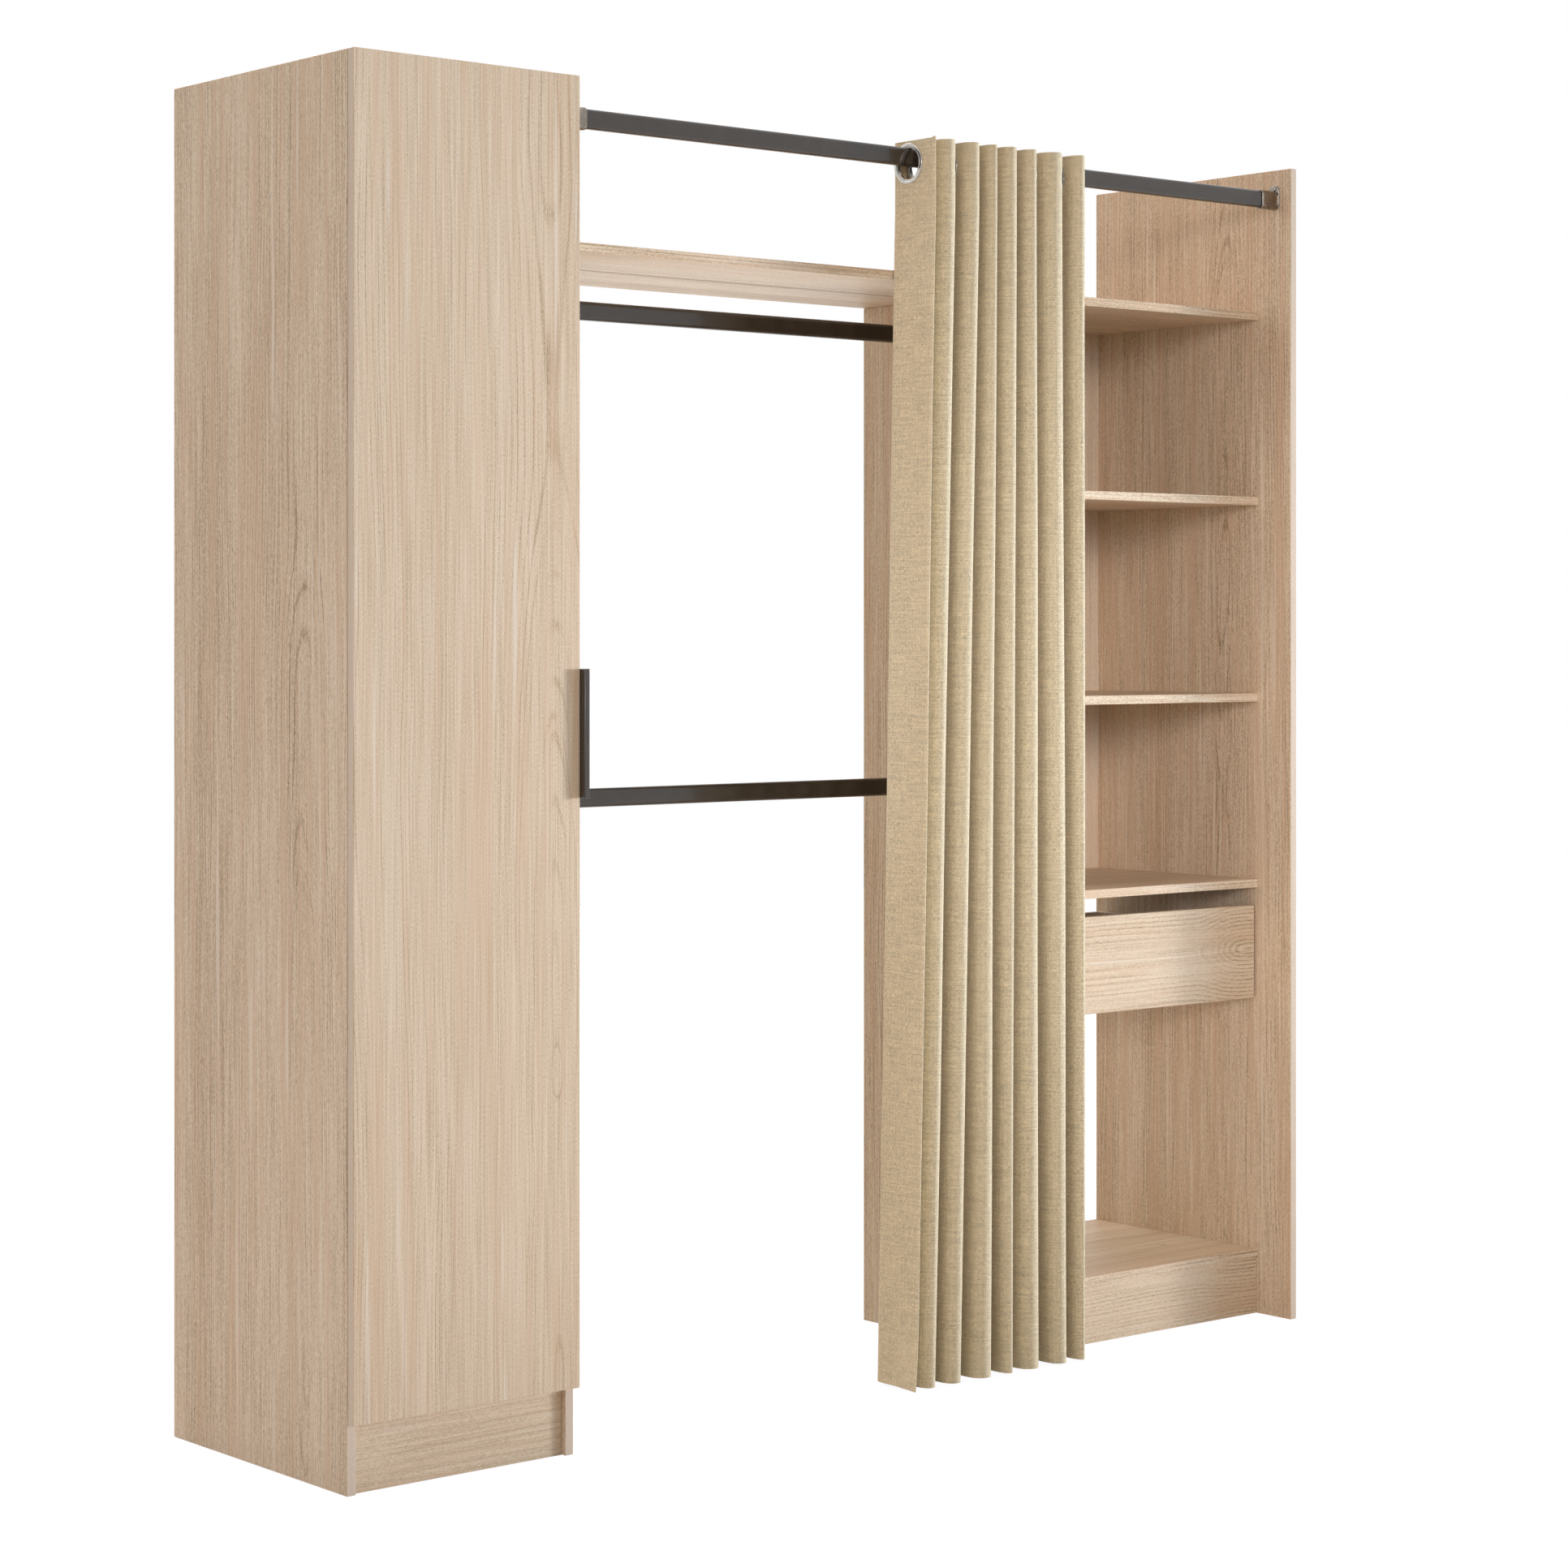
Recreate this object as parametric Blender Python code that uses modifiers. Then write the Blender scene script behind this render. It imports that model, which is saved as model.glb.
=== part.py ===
"""A closet organizer: a cabinet with a full-height door, an open hanging bay and a column of shelves
with one drawer, partly covered by an eyelet curtain on a rail.

Metres, +Z up, +X to the right, fronts facing -Y. The origin is on the floor under the middle of the closet.
"""

import math
from collections import defaultdict
from dataclasses import dataclass

import bmesh
import bpy
from mathutils import Matrix, Vector

# Whole closet
OVERALL_HEIGHT = 2.030
BOARD = 0.015
EDGE_CHAMFER = 0.0008
CABINET_WIDTH = 0.394
BAY_WIDTH = 0.989
COLUMN_WIDTH = 0.594
CABINET_DEPTH = 0.477
END_PANEL_DEPTH = 0.482
SHELF_DEPTH = 0.405
TOP_SPACE = 0.2475
BASE_HEIGHT = 0.100
CABINET_PLINTH_SETBACK = 0.008
COLUMN_PLINTH_SETBACK = 0.004

# Clearances and the overrun of every cut
FIT = 0.0003
OVERRUN = 0.004

# Back panels, held in grooves of the sides
BACK_PANEL = 0.003
BACK_PANEL_SETBACK = 0.003
GROOVE_DEPTH = 0.006

# Column shelves: tops as shares of the partition's height
UPPER_SHELF_SHARE = 0.8152
LOWER_SHELF_SHARE = 0.6191
DRAWER_SHELF_SHARE = 0.4337

# Shelves inside the cabinet: equal bays, the middle shelf fixed and the others on pins
CABINET_SHELVES = 3
CABINET_SHELF_SETBACK = 0.025
CABINET_SHELF_PLAY = 0.001
PIN_RADIUS = 0.0025
PIN_IN_SIDE = 0.009
PIN_IN_BAY = 0.008
PIN_FROM_EDGE = 0.050

# Door, its handle and its cup hinges
DOOR_GAP = 0.0015
DOOR_REVEAL = 0.001
HANDLE_LENGTH = 0.190
HANDLE_CENTRE_HEIGHT = 1.063
HANDLE_WALL = 0.002
HANDLE_LIP = 0.0085
HANDLE_PROJECTION = 0.012
HANDLE_SCREW_SPACING = 0.128
HINGE_FROM_DOOR_END = 0.105
HINGE_SCREW_SPACING = 0.032
CUP_RADIUS = 0.0175
CUP_WALL = 0.002
CUP_DEPTH = 0.0112
CUP_FROM_DOOR_EDGE = 0.0225
FLANGE_THICKNESS = 0.0007
FLANGE_WIDTH = 0.020
FLANGE_HEIGHT = 0.056
ARM_HEIGHT = 0.016
ARM_THICKNESS = 0.012
ARM_LENGTH = 0.055
ARM_IN_CUP = 0.005
PLATE_THICKNESS = 0.003
PLATE_HEIGHT = 0.048
PLATE_LENGTH = 0.036

# Rails of rounded rectangular tube, and their end sockets
RAIL_HEIGHT = 0.030
RAIL_DEPTH = 0.015
RAIL_WALL = 0.001
RAIL_CORNER = 0.006
CURTAIN_RAIL_SETBACK = 0.445
CURTAIN_RAIL_DROP = 0.054
HANGING_RAIL_SETBACK = 0.2025
UPPER_RAIL_DROP = 0.0645
LOWER_RAIL_HEIGHT = 0.9505
SOCKET_WALL = 0.0012
SOCKET_PLATE = 0.0015
SOCKET_PLATE_WIDTH = 0.0225
SOCKET_PLATE_CORNER = 0.008
SOCKET_EAR = 0.012
SOCKET_REACH = 0.0415
EAR_SCREW_RISE = 0.0055

# Drawer and its runners
DRAWER_FRONT_HEIGHT = 0.1655
FINGER_GAP = 0.0315
DRAWER_SIDE_GAP = 0.0045
DRAWER_RECESS = 0.005
DRAWER_BOX_BOARD = 0.012
DRAWER_BOX_HEIGHT = 0.120
DRAWER_BOX_LENGTH = 0.360
DRAWER_BOX_RISE = 0.012
DRAWER_BOTTOM = 0.003
DRAWER_BOTTOM_RISE = 0.008
DRAWER_GROOVE = 0.005
RUNNER_SPACE = 0.013
RUNNER_LENGTH = 0.350
RUNNER_HEIGHT = 0.035
RUNNER_STEEL = 0.0012
RUNNER_CHANNEL_DEPTH = 0.008
RUNNER_SCREW_INSET = 0.045

# Pan-head screws
SCREW_SHANK = 0.0016
SCREW_HEAD = 0.0032
SCREW_HEAD_HEIGHT = 0.0018
SCREW_LENGTH = 0.010

# Curtain: a sheet hung from eyelets, gathered in front folds of the widths below, and starting
# at its lead in front of the partition
CLOTH = 0.002
CURTAIN_FLOOR_GAP = 0.0055
EYELET_OUTER = 0.033
EYELET_BORE = 0.0255
EYELET_BARREL_WALL = 0.002
EYELET_FLANGE = 0.0022
EYELET_CHAMFER = 0.004
EYELET_TO_HEM = 0.0365
EYELET_BAND = 0.110
CURTAIN_LEAD = 0.2875
CURTAIN_FOOT_LEAD = 0.3245
FOLD_WIDTHS = (0.048, 0.052, 0.038, 0.047, 0.044, 0.063, 0.048)
FOLD_FOOT_WIDTHS = (0.044, 0.056, 0.067, 0.045, 0.062, 0.063, 0.039)
FLAP_OFFSET = 0.0105
PANEL_FRONT_SHARE = 0.38
PANEL_BACK_SHARE = 0.12
FOLD_BULGE_SHARE = 0.45
FOLD_REACH = 0.062
CURTAIN_BACK_CLEARANCE = 0.0015
BEND_STEPS = 8

# Facets of round shapes
CORNER_STEPS = 3
RING_STEPS = 18
CUP_STEPS = 24
SCREW_SIDES = 6

# Places worked out from the sizes above: across, then front to back, then up
overall_width = CABINET_WIDTH + BAY_WIDTH + COLUMN_WIDTH
door_front_setback = CABINET_DEPTH + DOOR_GAP + BOARD
overall_depth = max(door_front_setback + HANDLE_PROJECTION, CURTAIN_RAIL_SETBACK + FOLD_REACH)

x_left = -overall_width / 2
x_cabinet_inner = x_left + BOARD
x_cabinet_right = x_left + CABINET_WIDTH
x_partition = x_cabinet_right + BAY_WIDTH
x_column_inner = x_partition + BOARD
x_right = x_partition + COLUMN_WIDTH
x_end_inner = x_right - BOARD

y_back = overall_depth / 2
y_cabinet_front = y_back - CABINET_DEPTH
y_door_back = y_cabinet_front - DOOR_GAP
y_door_front = y_door_back - BOARD
y_shelf_front = y_back - SHELF_DEPTH
y_end_front = y_back - END_PANEL_DEPTH
y_panel_back = y_back - BACK_PANEL_SETBACK
y_panel_front = y_panel_back - BACK_PANEL
y_shelf_back = y_panel_front - FIT
y_curtain_rail = y_back - CURTAIN_RAIL_SETBACK
y_hanging_rail = y_back - HANGING_RAIL_SETBACK

z_base_top = BASE_HEIGHT + BOARD
z_partition_top = OVERALL_HEIGHT - TOP_SPACE
z_upper_shelf = z_partition_top * UPPER_SHELF_SHARE - BOARD
z_lower_shelf = z_partition_top * LOWER_SHELF_SHARE - BOARD
z_drawer_shelf = z_partition_top * DRAWER_SHELF_SHARE - BOARD
z_door_bottom = BASE_HEIGHT + DOOR_REVEAL
cabinet_bay = (OVERALL_HEIGHT - BOARD - z_base_top - CABINET_SHELVES * BOARD) / (CABINET_SHELVES + 1)
fixed_shelf = (CABINET_SHELVES + 1) // 2
z_middle_hinge = z_base_top + fixed_shelf * (cabinet_bay + BOARD) - BOARD - cabinet_bay / 2
z_hinges = (z_door_bottom + HINGE_FROM_DOOR_END, z_middle_hinge, OVERALL_HEIGHT - HINGE_FROM_DOOR_END)
z_curtain_rail = OVERALL_HEIGHT - CURTAIN_RAIL_DROP
z_upper_rail = z_partition_top - UPPER_RAIL_DROP
z_drawer_top = z_drawer_shelf - FINGER_GAP
z_drawer_bottom = z_drawer_top - DRAWER_FRONT_HEIGHT

# name: linear colour, roughness, metallic
FINISHES = {
    "oak": ((0.60, 0.44, 0.29), 0.55, 0.0),
    "hardboard": ((0.45, 0.31, 0.20), 0.65, 0.0),
    "black_metal": ((0.02, 0.018, 0.016), 0.3, 0.6),
    "dark_chrome": ((0.10, 0.095, 0.09), 0.2, 1.0),
    "steel": ((0.55, 0.55, 0.55), 0.35, 1.0),
    "zinc": ((0.50, 0.50, 0.52), 0.45, 1.0),
    "linen": ((0.55, 0.43, 0.28), 0.9, 0.0),
    "chrome": ((0.75, 0.74, 0.72), 0.1, 1.0),
}

# Shapes still to be cut from or joined to a node: (node, layer) to shapes that don't meet each other
cuts = defaultdict(list)
joins = defaultdict(list)


@dataclass
class Rod:
    """A straight round shape between two points."""

    start: Vector
    end: Vector
    radius: float
    sides: int

    def add_to(self, mesh):
        run = self.end - self.start
        turn = run.to_track_quat("Z", "Y").to_matrix().to_4x4()
        place = Matrix.Translation((self.start + self.end) / 2) @ turn
        bmesh.ops.create_cone(
            mesh,
            cap_ends=True,
            segments=self.sides,
            radius1=self.radius,
            radius2=self.radius,
            depth=run.length,
            matrix=place,
        )


@dataclass
class Block:
    """A box between two opposite corners."""

    low: Vector
    high: Vector

    def add_to(self, mesh):
        size = self.high - self.low
        place = Matrix.Translation((self.low + self.high) / 2) @ Matrix.Diagonal((*size, 1))
        bmesh.ops.create_cube(mesh, size=1, matrix=place)


@dataclass
class Copy:
    """A ready mesh, put somewhere."""

    shape: bpy.types.Mesh
    place: Matrix

    def add_to(self, mesh):
        start = len(mesh.verts)
        mesh.from_mesh(self.shape)
        mesh.verts.ensure_lookup_table()
        bmesh.ops.transform(mesh, matrix=self.place, verts=mesh.verts[start:])


def clear_scene():
    for thing in list(bpy.data.objects):
        bpy.data.objects.remove(thing)


def new_collection(name):
    collection = bpy.data.collections.new(name)
    bpy.context.scene.collection.children.link(collection)
    return collection


def finish_material(node_name, finish):
    colour, roughness, metallic = FINISHES[finish]
    material = bpy.data.materials.new(f"{node_name}_{finish}")
    material.use_nodes = True
    shader = material.node_tree.nodes["Principled BSDF"]
    shader.inputs["Base Color"].default_value = (*colour, 1)
    shader.inputs["Roughness"].default_value = roughness
    shader.inputs["Metallic"].default_value = metallic
    material.diffuse_color = (*colour, 1)
    return material


def mesh_of(name, shapes):
    """One mesh that holds all the shapes, each as a body of its own."""
    built = bmesh.new()
    for shape in shapes:
        shape.add_to(built)
    mesh = bpy.data.meshes.new(name)
    built.to_mesh(mesh)
    built.free()
    return mesh


def node(name, data, finish, round_shape=False):
    """Puts a mesh or curve in the closet as a sub-part with its own material."""
    thing = bpy.data.objects.new(name, data)
    closet.objects.link(thing)
    data.materials.clear()
    data.materials.append(finish_material(name, finish))
    if round_shape:
        data.shade_smooth()
        data.set_sharp_from_angle(angle=math.radians(35))
    return thing


def shapes_node(name, shapes, finish, round_shape=False):
    return node(name, mesh_of(name, shapes), finish, round_shape)


def panel(name, low, high, finish):
    """A flat panel whose own origin is its centre."""
    low = Vector(low)
    high = Vector(high)
    centre = (low + high) / 2
    thing = shapes_node(name, [Block(low - centre, high - centre)], finish)
    thing.location = centre
    return thing


def board(name, low, high):
    """An edge-banded board, its arrises broken by a small chamfer."""
    chamfer = panel(name, low, high, "oak").modifiers.new("chamfer", "BEVEL")
    chamfer.width = EDGE_CHAMFER
    chamfer.segments = 1


def evaluated_mesh(thing):
    """The mesh of an object with its modifiers, in its own space and with any loose caps welded."""
    graph = bpy.context.evaluated_depsgraph_get()
    mesh = bpy.data.meshes.new_from_object(thing.evaluated_get(graph))
    built = bmesh.new()
    built.from_mesh(mesh)
    bmesh.ops.remove_doubles(built, verts=built.verts, dist=FIT / 100)
    built.to_mesh(mesh)
    built.free()
    return mesh


def temporary(name, data):
    thing = bpy.data.objects.new(name, data)
    cutters.objects.link(thing)
    return thing


def flat_outline(name, loops, thickness):
    """A flat shape with the given closed outlines, extruded to both sides of its plane."""
    curve = bpy.data.curves.new(name, "CURVE")
    curve.dimensions = "2D"
    curve.fill_mode = "BOTH"
    curve.extrude = thickness / 2
    for loop in loops:
        spline = curve.splines.new("POLY")
        spline.points.add(len(loop) - 1)
        for point, (x, y) in zip(spline.points, loop):
            point.co = (x, y, 0, 1)
        spline.use_cyclic_u = True
    return curve


def outline_mesh(name, loops, thickness):
    thing = temporary(name, flat_outline(name, loops, thickness))
    mesh = evaluated_mesh(thing)
    bpy.data.objects.remove(thing)
    return mesh


def turned_mesh(name, profile, steps, closed=False):
    """A profile of (radius, height) points turned round Z. A profile on the axis runs from top to bottom."""
    mesh = bpy.data.meshes.new(name)
    edges = [(i, i + 1) for i in range(len(profile) - 1)]
    if closed:
        edges.append((len(profile) - 1, 0))
    mesh.from_pydata([(radius, 0, height) for radius, height in profile], edges, [])
    thing = temporary(name, mesh)
    turn = thing.modifiers.new("turn", "SCREW")
    turn.steps = steps
    turn.render_steps = steps
    turn.use_merge_vertices = True
    turn.merge_threshold = FIT / 100
    turned = evaluated_mesh(thing)
    bpy.data.objects.remove(thing)
    built = bmesh.new()
    built.from_mesh(turned)
    bmesh.ops.recalc_face_normals(built, faces=built.faces)
    built.to_mesh(turned)
    built.free()
    return turned


def joined(name, base, others, operation="UNION"):
    """A mesh joined with, or cut by, each of the others in turn."""
    thing = temporary(name, base)
    helpers = []
    for other in others:
        helper = temporary(f"{name}_{operation.lower()}", other)
        modifier = thing.modifiers.new(operation.lower(), "BOOLEAN")
        modifier.operation = operation
        modifier.object = helper
        helpers.append(helper)
    mesh = evaluated_mesh(thing)
    for helper in [*helpers, thing]:
        bpy.data.objects.remove(helper)
    return mesh


def combine(shapes_by_layer, operation):
    """Cuts or joins each node with the shapes gathered for it, one modifier for each layer."""
    for (name, layer), shapes in shapes_by_layer.items():
        helper = temporary(f"{name}_{layer}", mesh_of(f"{name}_{layer}", shapes))
        helper.hide_render = True
        helper.display_type = "WIRE"
        modifier = bpy.data.objects[name].modifiers.new(layer, "BOOLEAN")
        modifier.operation = operation
        modifier.object = helper


def rounded_rectangle(width, height, radius):
    """The outline of a rectangle with round corners, centred on zero."""
    points = []
    corners = ((1, -1, -90), (1, 1, 0), (-1, 1, 90), (-1, -1, 180))
    for side, level, start in corners:
        for step in range(CORNER_STEPS + 1):
            angle = math.radians(start + 90 * step / CORNER_STEPS)
            x = side * (width / 2 - radius) + radius * math.cos(angle)
            y = level * (height / 2 - radius) + radius * math.sin(angle)
            points.append((x, y))
    return points


def bore(node_name, mouth, direction, depth, radius, sides):
    """A round blind hole from its mouth, kept clear of what goes in it."""
    mouth = Vector(mouth)
    direction = Vector(direction)
    start = mouth - direction * OVERRUN
    end = mouth + direction * (depth + FIT)
    cuts[node_name, "bores"].append(Rod(start, end, radius + FIT, sides))


def between(name, x_low, x_high, y_low, y_high, z_low, z_high):
    """A board fitted between two uprights."""
    board(name, (x_low + FIT, y_low, z_low), (x_high - FIT, y_high, z_high))


def back_panel(name, sides, x_low, x_high, z_low, z_high):
    """A thin back held in a groove of each upright."""
    reach = GROOVE_DEPTH - FIT
    low = (x_low - reach, y_panel_front, z_low)
    high = (x_high + reach, y_panel_back, z_high)
    panel(name, low, high, "hardboard")
    for side, x, direction in ((sides[0], x_low, -1), (sides[1], x_high, 1)):
        ends = sorted((x - direction * OVERRUN, x + direction * GROOVE_DEPTH))
        groove_low = Vector((ends[0], y_panel_front - FIT, z_low - FIT))
        groove_high = Vector((ends[1], y_panel_back + FIT, z_high + OVERRUN))
        cuts[side, "groove"].append(Block(groove_low, groove_high))


def screw_at(fitting, upright, seat, direction, through):
    """Joins a screw to the fitting that it holds, and bores the board that it is driven into.

    Its head sits on the fitting at seat, and the board's face lies at the distance through behind it.
    """
    direction = Vector(direction)
    turn = (-direction).to_track_quat("Z", "Y").to_matrix().to_4x4()
    seat = Vector(seat)
    joins[fitting, "screws"].append(Copy(screw_shape, Matrix.Translation(seat + direction * FIT) @ turn))
    depth = SCREW_LENGTH + FIT - through
    bore(upright, seat + direction * through, direction, depth, SCREW_SHANK, SCREW_SIDES)


def make_screw_shape():
    profile = [
        (0, SCREW_HEAD_HEIGHT),
        (SCREW_HEAD - SCREW_HEAD_HEIGHT / 2, SCREW_HEAD_HEIGHT),
        (SCREW_HEAD, 0),
        (SCREW_SHANK, 0),
        (SCREW_SHANK, -SCREW_LENGTH),
        (0, -SCREW_LENGTH),
    ]
    return turned_mesh("screw_shape", profile, SCREW_SIDES)


def build_cabinet():
    left = "cabinet_left_side"
    right = "cabinet_right_side"
    board(left, (x_left, y_cabinet_front, 0), (x_cabinet_inner, y_back, OVERALL_HEIGHT))
    x_inner_right = x_cabinet_right - BOARD
    board(right, (x_inner_right, y_cabinet_front, 0), (x_cabinet_right, y_back, OVERALL_HEIGHT))
    across = (x_cabinet_inner, x_inner_right)
    deep = (y_cabinet_front, y_shelf_back)
    between("cabinet_top", *across, *deep, OVERALL_HEIGHT - BOARD, OVERALL_HEIGHT)
    between("cabinet_bottom", *across, *deep, BASE_HEIGHT, z_base_top)
    plinth_front = y_cabinet_front + CABINET_PLINTH_SETBACK
    between("cabinet_plinth", *across, plinth_front, plinth_front + BOARD, 0, BASE_HEIGHT - FIT)
    back_panel("cabinet_back", (left, right), *across, BASE_HEIGHT, OVERALL_HEIGHT)
    build_cabinet_shelves(left, right, x_inner_right)


def build_cabinet_shelves(left, right, x_inner_right):
    y_front = y_cabinet_front + CABINET_SHELF_SETBACK
    for number in range(1, CABINET_SHELVES + 1):
        name = f"cabinet_shelf_{number}"
        z_low = z_base_top + number * (cabinet_bay + BOARD) - BOARD
        if number == fixed_shelf:
            between(name, x_cabinet_inner, x_inner_right, y_front, y_shelf_back, z_low, z_low + BOARD)
            continue
        low = (x_cabinet_inner + CABINET_SHELF_PLAY, y_front, z_low)
        high = (x_inner_right - CABINET_SHELF_PLAY, y_shelf_back, z_low + BOARD)
        board(name, low, high)
        z_pin = z_low - PIN_RADIUS / 2
        for y in (y_front + PIN_FROM_EDGE, y_shelf_back - PIN_FROM_EDGE):
            for side, x, direction in ((left, x_cabinet_inner, -1), (right, x_inner_right, 1)):
                face = Vector((x, y, z_pin))
                axis = Vector((direction, 0, 0))
                pin = Rod(face - axis * PIN_IN_BAY, face + axis * PIN_IN_SIDE, PIN_RADIUS, SCREW_SIDES)
                joins[name, "pins"].append(pin)
                bore(side, face, axis, PIN_IN_SIDE, PIN_RADIUS, SCREW_SIDES)


def build_door():
    low = (x_left, y_door_front, z_door_bottom)
    high = (x_cabinet_right, y_door_back, OVERALL_HEIGHT)
    board("cabinet_door", low, high)
    build_handle()
    build_hinges()


def build_handle():
    """An angle of flat bar: one leg on the door's edge, its lip turned outwards in front of the door."""
    x_leg = x_cabinet_right + FIT
    y_tip = y_door_front - HANDLE_PROJECTION
    outline = [
        (x_leg, y_door_back),
        (x_leg, y_tip),
        (x_leg + HANDLE_LIP, y_tip),
        (x_leg + HANDLE_LIP, y_tip + HANDLE_WALL),
        (x_leg + HANDLE_WALL, y_tip + HANDLE_WALL),
        (x_leg + HANDLE_WALL, y_door_back),
    ]
    handle = node("door_handle", outline_mesh("door_handle", [outline], HANDLE_LENGTH), "black_metal")
    handle.location.z = HANDLE_CENTRE_HEIGHT
    y_screw = (y_door_back + y_door_front) / 2
    x_seat = x_leg + HANDLE_WALL
    for side in (-1, 1):
        z = HANDLE_CENTRE_HEIGHT + side * HANDLE_SCREW_SPACING / 2
        screw_at("door_handle", "cabinet_door", (x_seat, y_screw, z), (-1, 0, 0), HANDLE_WALL + FIT)


def make_cup_shape():
    """The cup of a hinge with its flange. Its axis is Z, and it sinks below zero into the door."""
    rim = FIT + FLANGE_THICKNESS
    inner = CUP_RADIUS - CUP_WALL
    floor = -(CUP_DEPTH - CUP_WALL)
    body = mesh_of("cup_body", [Rod(Vector((0, 0, -CUP_DEPTH)), Vector((0, 0, rim)), CUP_RADIUS, CUP_STEPS)])
    flange_low = Vector((CUP_RADIUS - FLANGE_WIDTH, -FLANGE_HEIGHT / 2, FIT))
    flange_high = Vector((CUP_RADIUS, FLANGE_HEIGHT / 2, rim))
    flange = mesh_of("cup_flange", [Block(flange_low, flange_high)])
    outside = joined("cup_outside", body, [flange])
    hollow_top = Vector((0, 0, rim + OVERRUN))
    hollow = mesh_of("cup_hollow", [Rod(Vector((0, 0, floor)), hollow_top, inner, CUP_STEPS)])
    return joined("hinge_cup", outside, [hollow], "DIFFERENCE")


def make_arm_shape():
    """The arm on its plate: X from the cabinet side, Y back from the door's inner face, Z up."""
    plate_start = CABINET_SHELF_SETBACK / 2
    plate = mesh_of("arm_plate", [Block(
        Vector((FIT, plate_start, -PLATE_HEIGHT / 2)),
        Vector((PLATE_THICKNESS, plate_start + PLATE_LENGTH, PLATE_HEIGHT / 2)),
    )])
    arm = mesh_of("arm_bar", [Block(
        Vector((PLATE_THICKNESS - 2 * FIT, -ARM_IN_CUP, -ARM_HEIGHT / 2)),
        Vector((PLATE_THICKNESS + ARM_THICKNESS, ARM_LENGTH, ARM_HEIGHT / 2)),
    )])
    return joined("hinge_arm", plate, [arm])


def build_hinges():
    cup_shape = make_cup_shape()
    arm_shape = make_arm_shape()
    cup_turn = Matrix.Rotation(math.radians(-90), 4, "X")
    x_plate = x_cabinet_inner + PLATE_THICKNESS
    y_screw = y_door_back + CABINET_SHELF_SETBACK / 2 + PLATE_LENGTH / 2
    for number, z in enumerate(z_hinges, start=1):
        centre = Vector((x_left + CUP_FROM_DOOR_EDGE, y_door_back, z))
        cup_place = Matrix.Translation(centre) @ cup_turn
        shapes_node(f"hinge_cup_{number}", [Copy(cup_shape, cup_place)], "steel", round_shape=True)
        bore("cabinet_door", centre, (0, -1, 0), CUP_DEPTH, CUP_RADIUS, CUP_STEPS)
        arm = f"hinge_arm_{number}"
        shapes_node(arm, [Copy(arm_shape, Matrix.Translation((x_cabinet_inner, y_door_back, z)))], "steel")
        for side in (-1, 1):
            seat = (x_plate, y_screw, z + side * HINGE_SCREW_SPACING / 2)
            screw_at(arm, "cabinet_left_side", seat, (-1, 0, 0), PLATE_THICKNESS)


def build_hanging_bay():
    """The shelf over the open bay, from the cabinet's side to the far face of the partition."""
    z_low = z_partition_top + FIT
    low = (x_cabinet_right + FIT, y_shelf_front, z_low)
    board("hanging_shelf", low, (x_column_inner, y_back, z_low + BOARD))


def build_rail(name, x_low, x_high, y, z, left, right):
    """A tube between two uprights, in a socket at each end."""
    gap = SOCKET_PLATE + 2 * FIT
    length = x_high - x_low - 2 * gap
    outer = rounded_rectangle(RAIL_DEPTH, RAIL_HEIGHT, RAIL_CORNER)
    bore_depth = RAIL_DEPTH - 2 * RAIL_WALL
    bore_height = RAIL_HEIGHT - 2 * RAIL_WALL
    inner = rounded_rectangle(bore_depth, bore_height, RAIL_CORNER - RAIL_WALL)
    across = Matrix(((0, 0, 1, 0), (1, 0, 0, 0), (0, 1, 0, 0), (0, 0, 0, 1)))
    tube = node(name, outline_mesh(name, [outer, inner], length), "black_metal", round_shape=True)
    tube.matrix_world = Matrix.Translation(((x_low + x_high) / 2, y, z)) @ across
    z_screws = (z + RAIL_HEIGHT / 2 + EAR_SCREW_RISE, z)
    for end, side, x, direction in (("left", left, x_low, 1), ("right", right, x_high, -1)):
        facing = Matrix.Identity(4) if direction == 1 else Matrix.Rotation(math.pi, 4, "Z")
        place = Matrix.Translation((x + direction * FIT, y, z)) @ facing
        socket = f"{name}_{end}_socket"
        shapes_node(socket, [Copy(socket_shape, place)], "dark_chrome", round_shape=True)
        for z_screw in z_screws:
            seat = (x + direction * (SOCKET_PLATE + FIT), y, z_screw)
            screw_at(socket, side, seat, (-direction, 0, 0), SOCKET_PLATE + FIT)


def make_socket_shape():
    """A plate with a sleeve for the rail, round the rail's centre. X points away from the upright."""
    plate_low = -RAIL_HEIGHT / 2 - FIT - SOCKET_WALL
    plate_high = RAIL_HEIGHT / 2 + SOCKET_EAR
    plate_outline = rounded_rectangle(SOCKET_PLATE_WIDTH, plate_high - plate_low, SOCKET_PLATE_CORNER)
    plate = outline_mesh("socket_plate", [plate_outline], SOCKET_PLATE)
    sleeve_outlines = [
        rounded_rectangle(RAIL_DEPTH + 2 * room, RAIL_HEIGHT + 2 * room, RAIL_CORNER + room)
        for room in (FIT + SOCKET_WALL, FIT)
    ]
    sleeve = outline_mesh("socket_sleeve", sleeve_outlines, SOCKET_REACH)
    across = Matrix(((0, 0, 1, 0), (1, 0, 0, 0), (0, 1, 0, 0), (0, 0, 0, 1)))
    plate.transform(Matrix.Translation((SOCKET_PLATE / 2, 0, (plate_low + plate_high) / 2)) @ across)
    sleeve.transform(Matrix.Translation((SOCKET_REACH / 2 + SOCKET_PLATE / 2, 0, 0)) @ across)
    return joined("rail_socket", plate, [sleeve])


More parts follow.
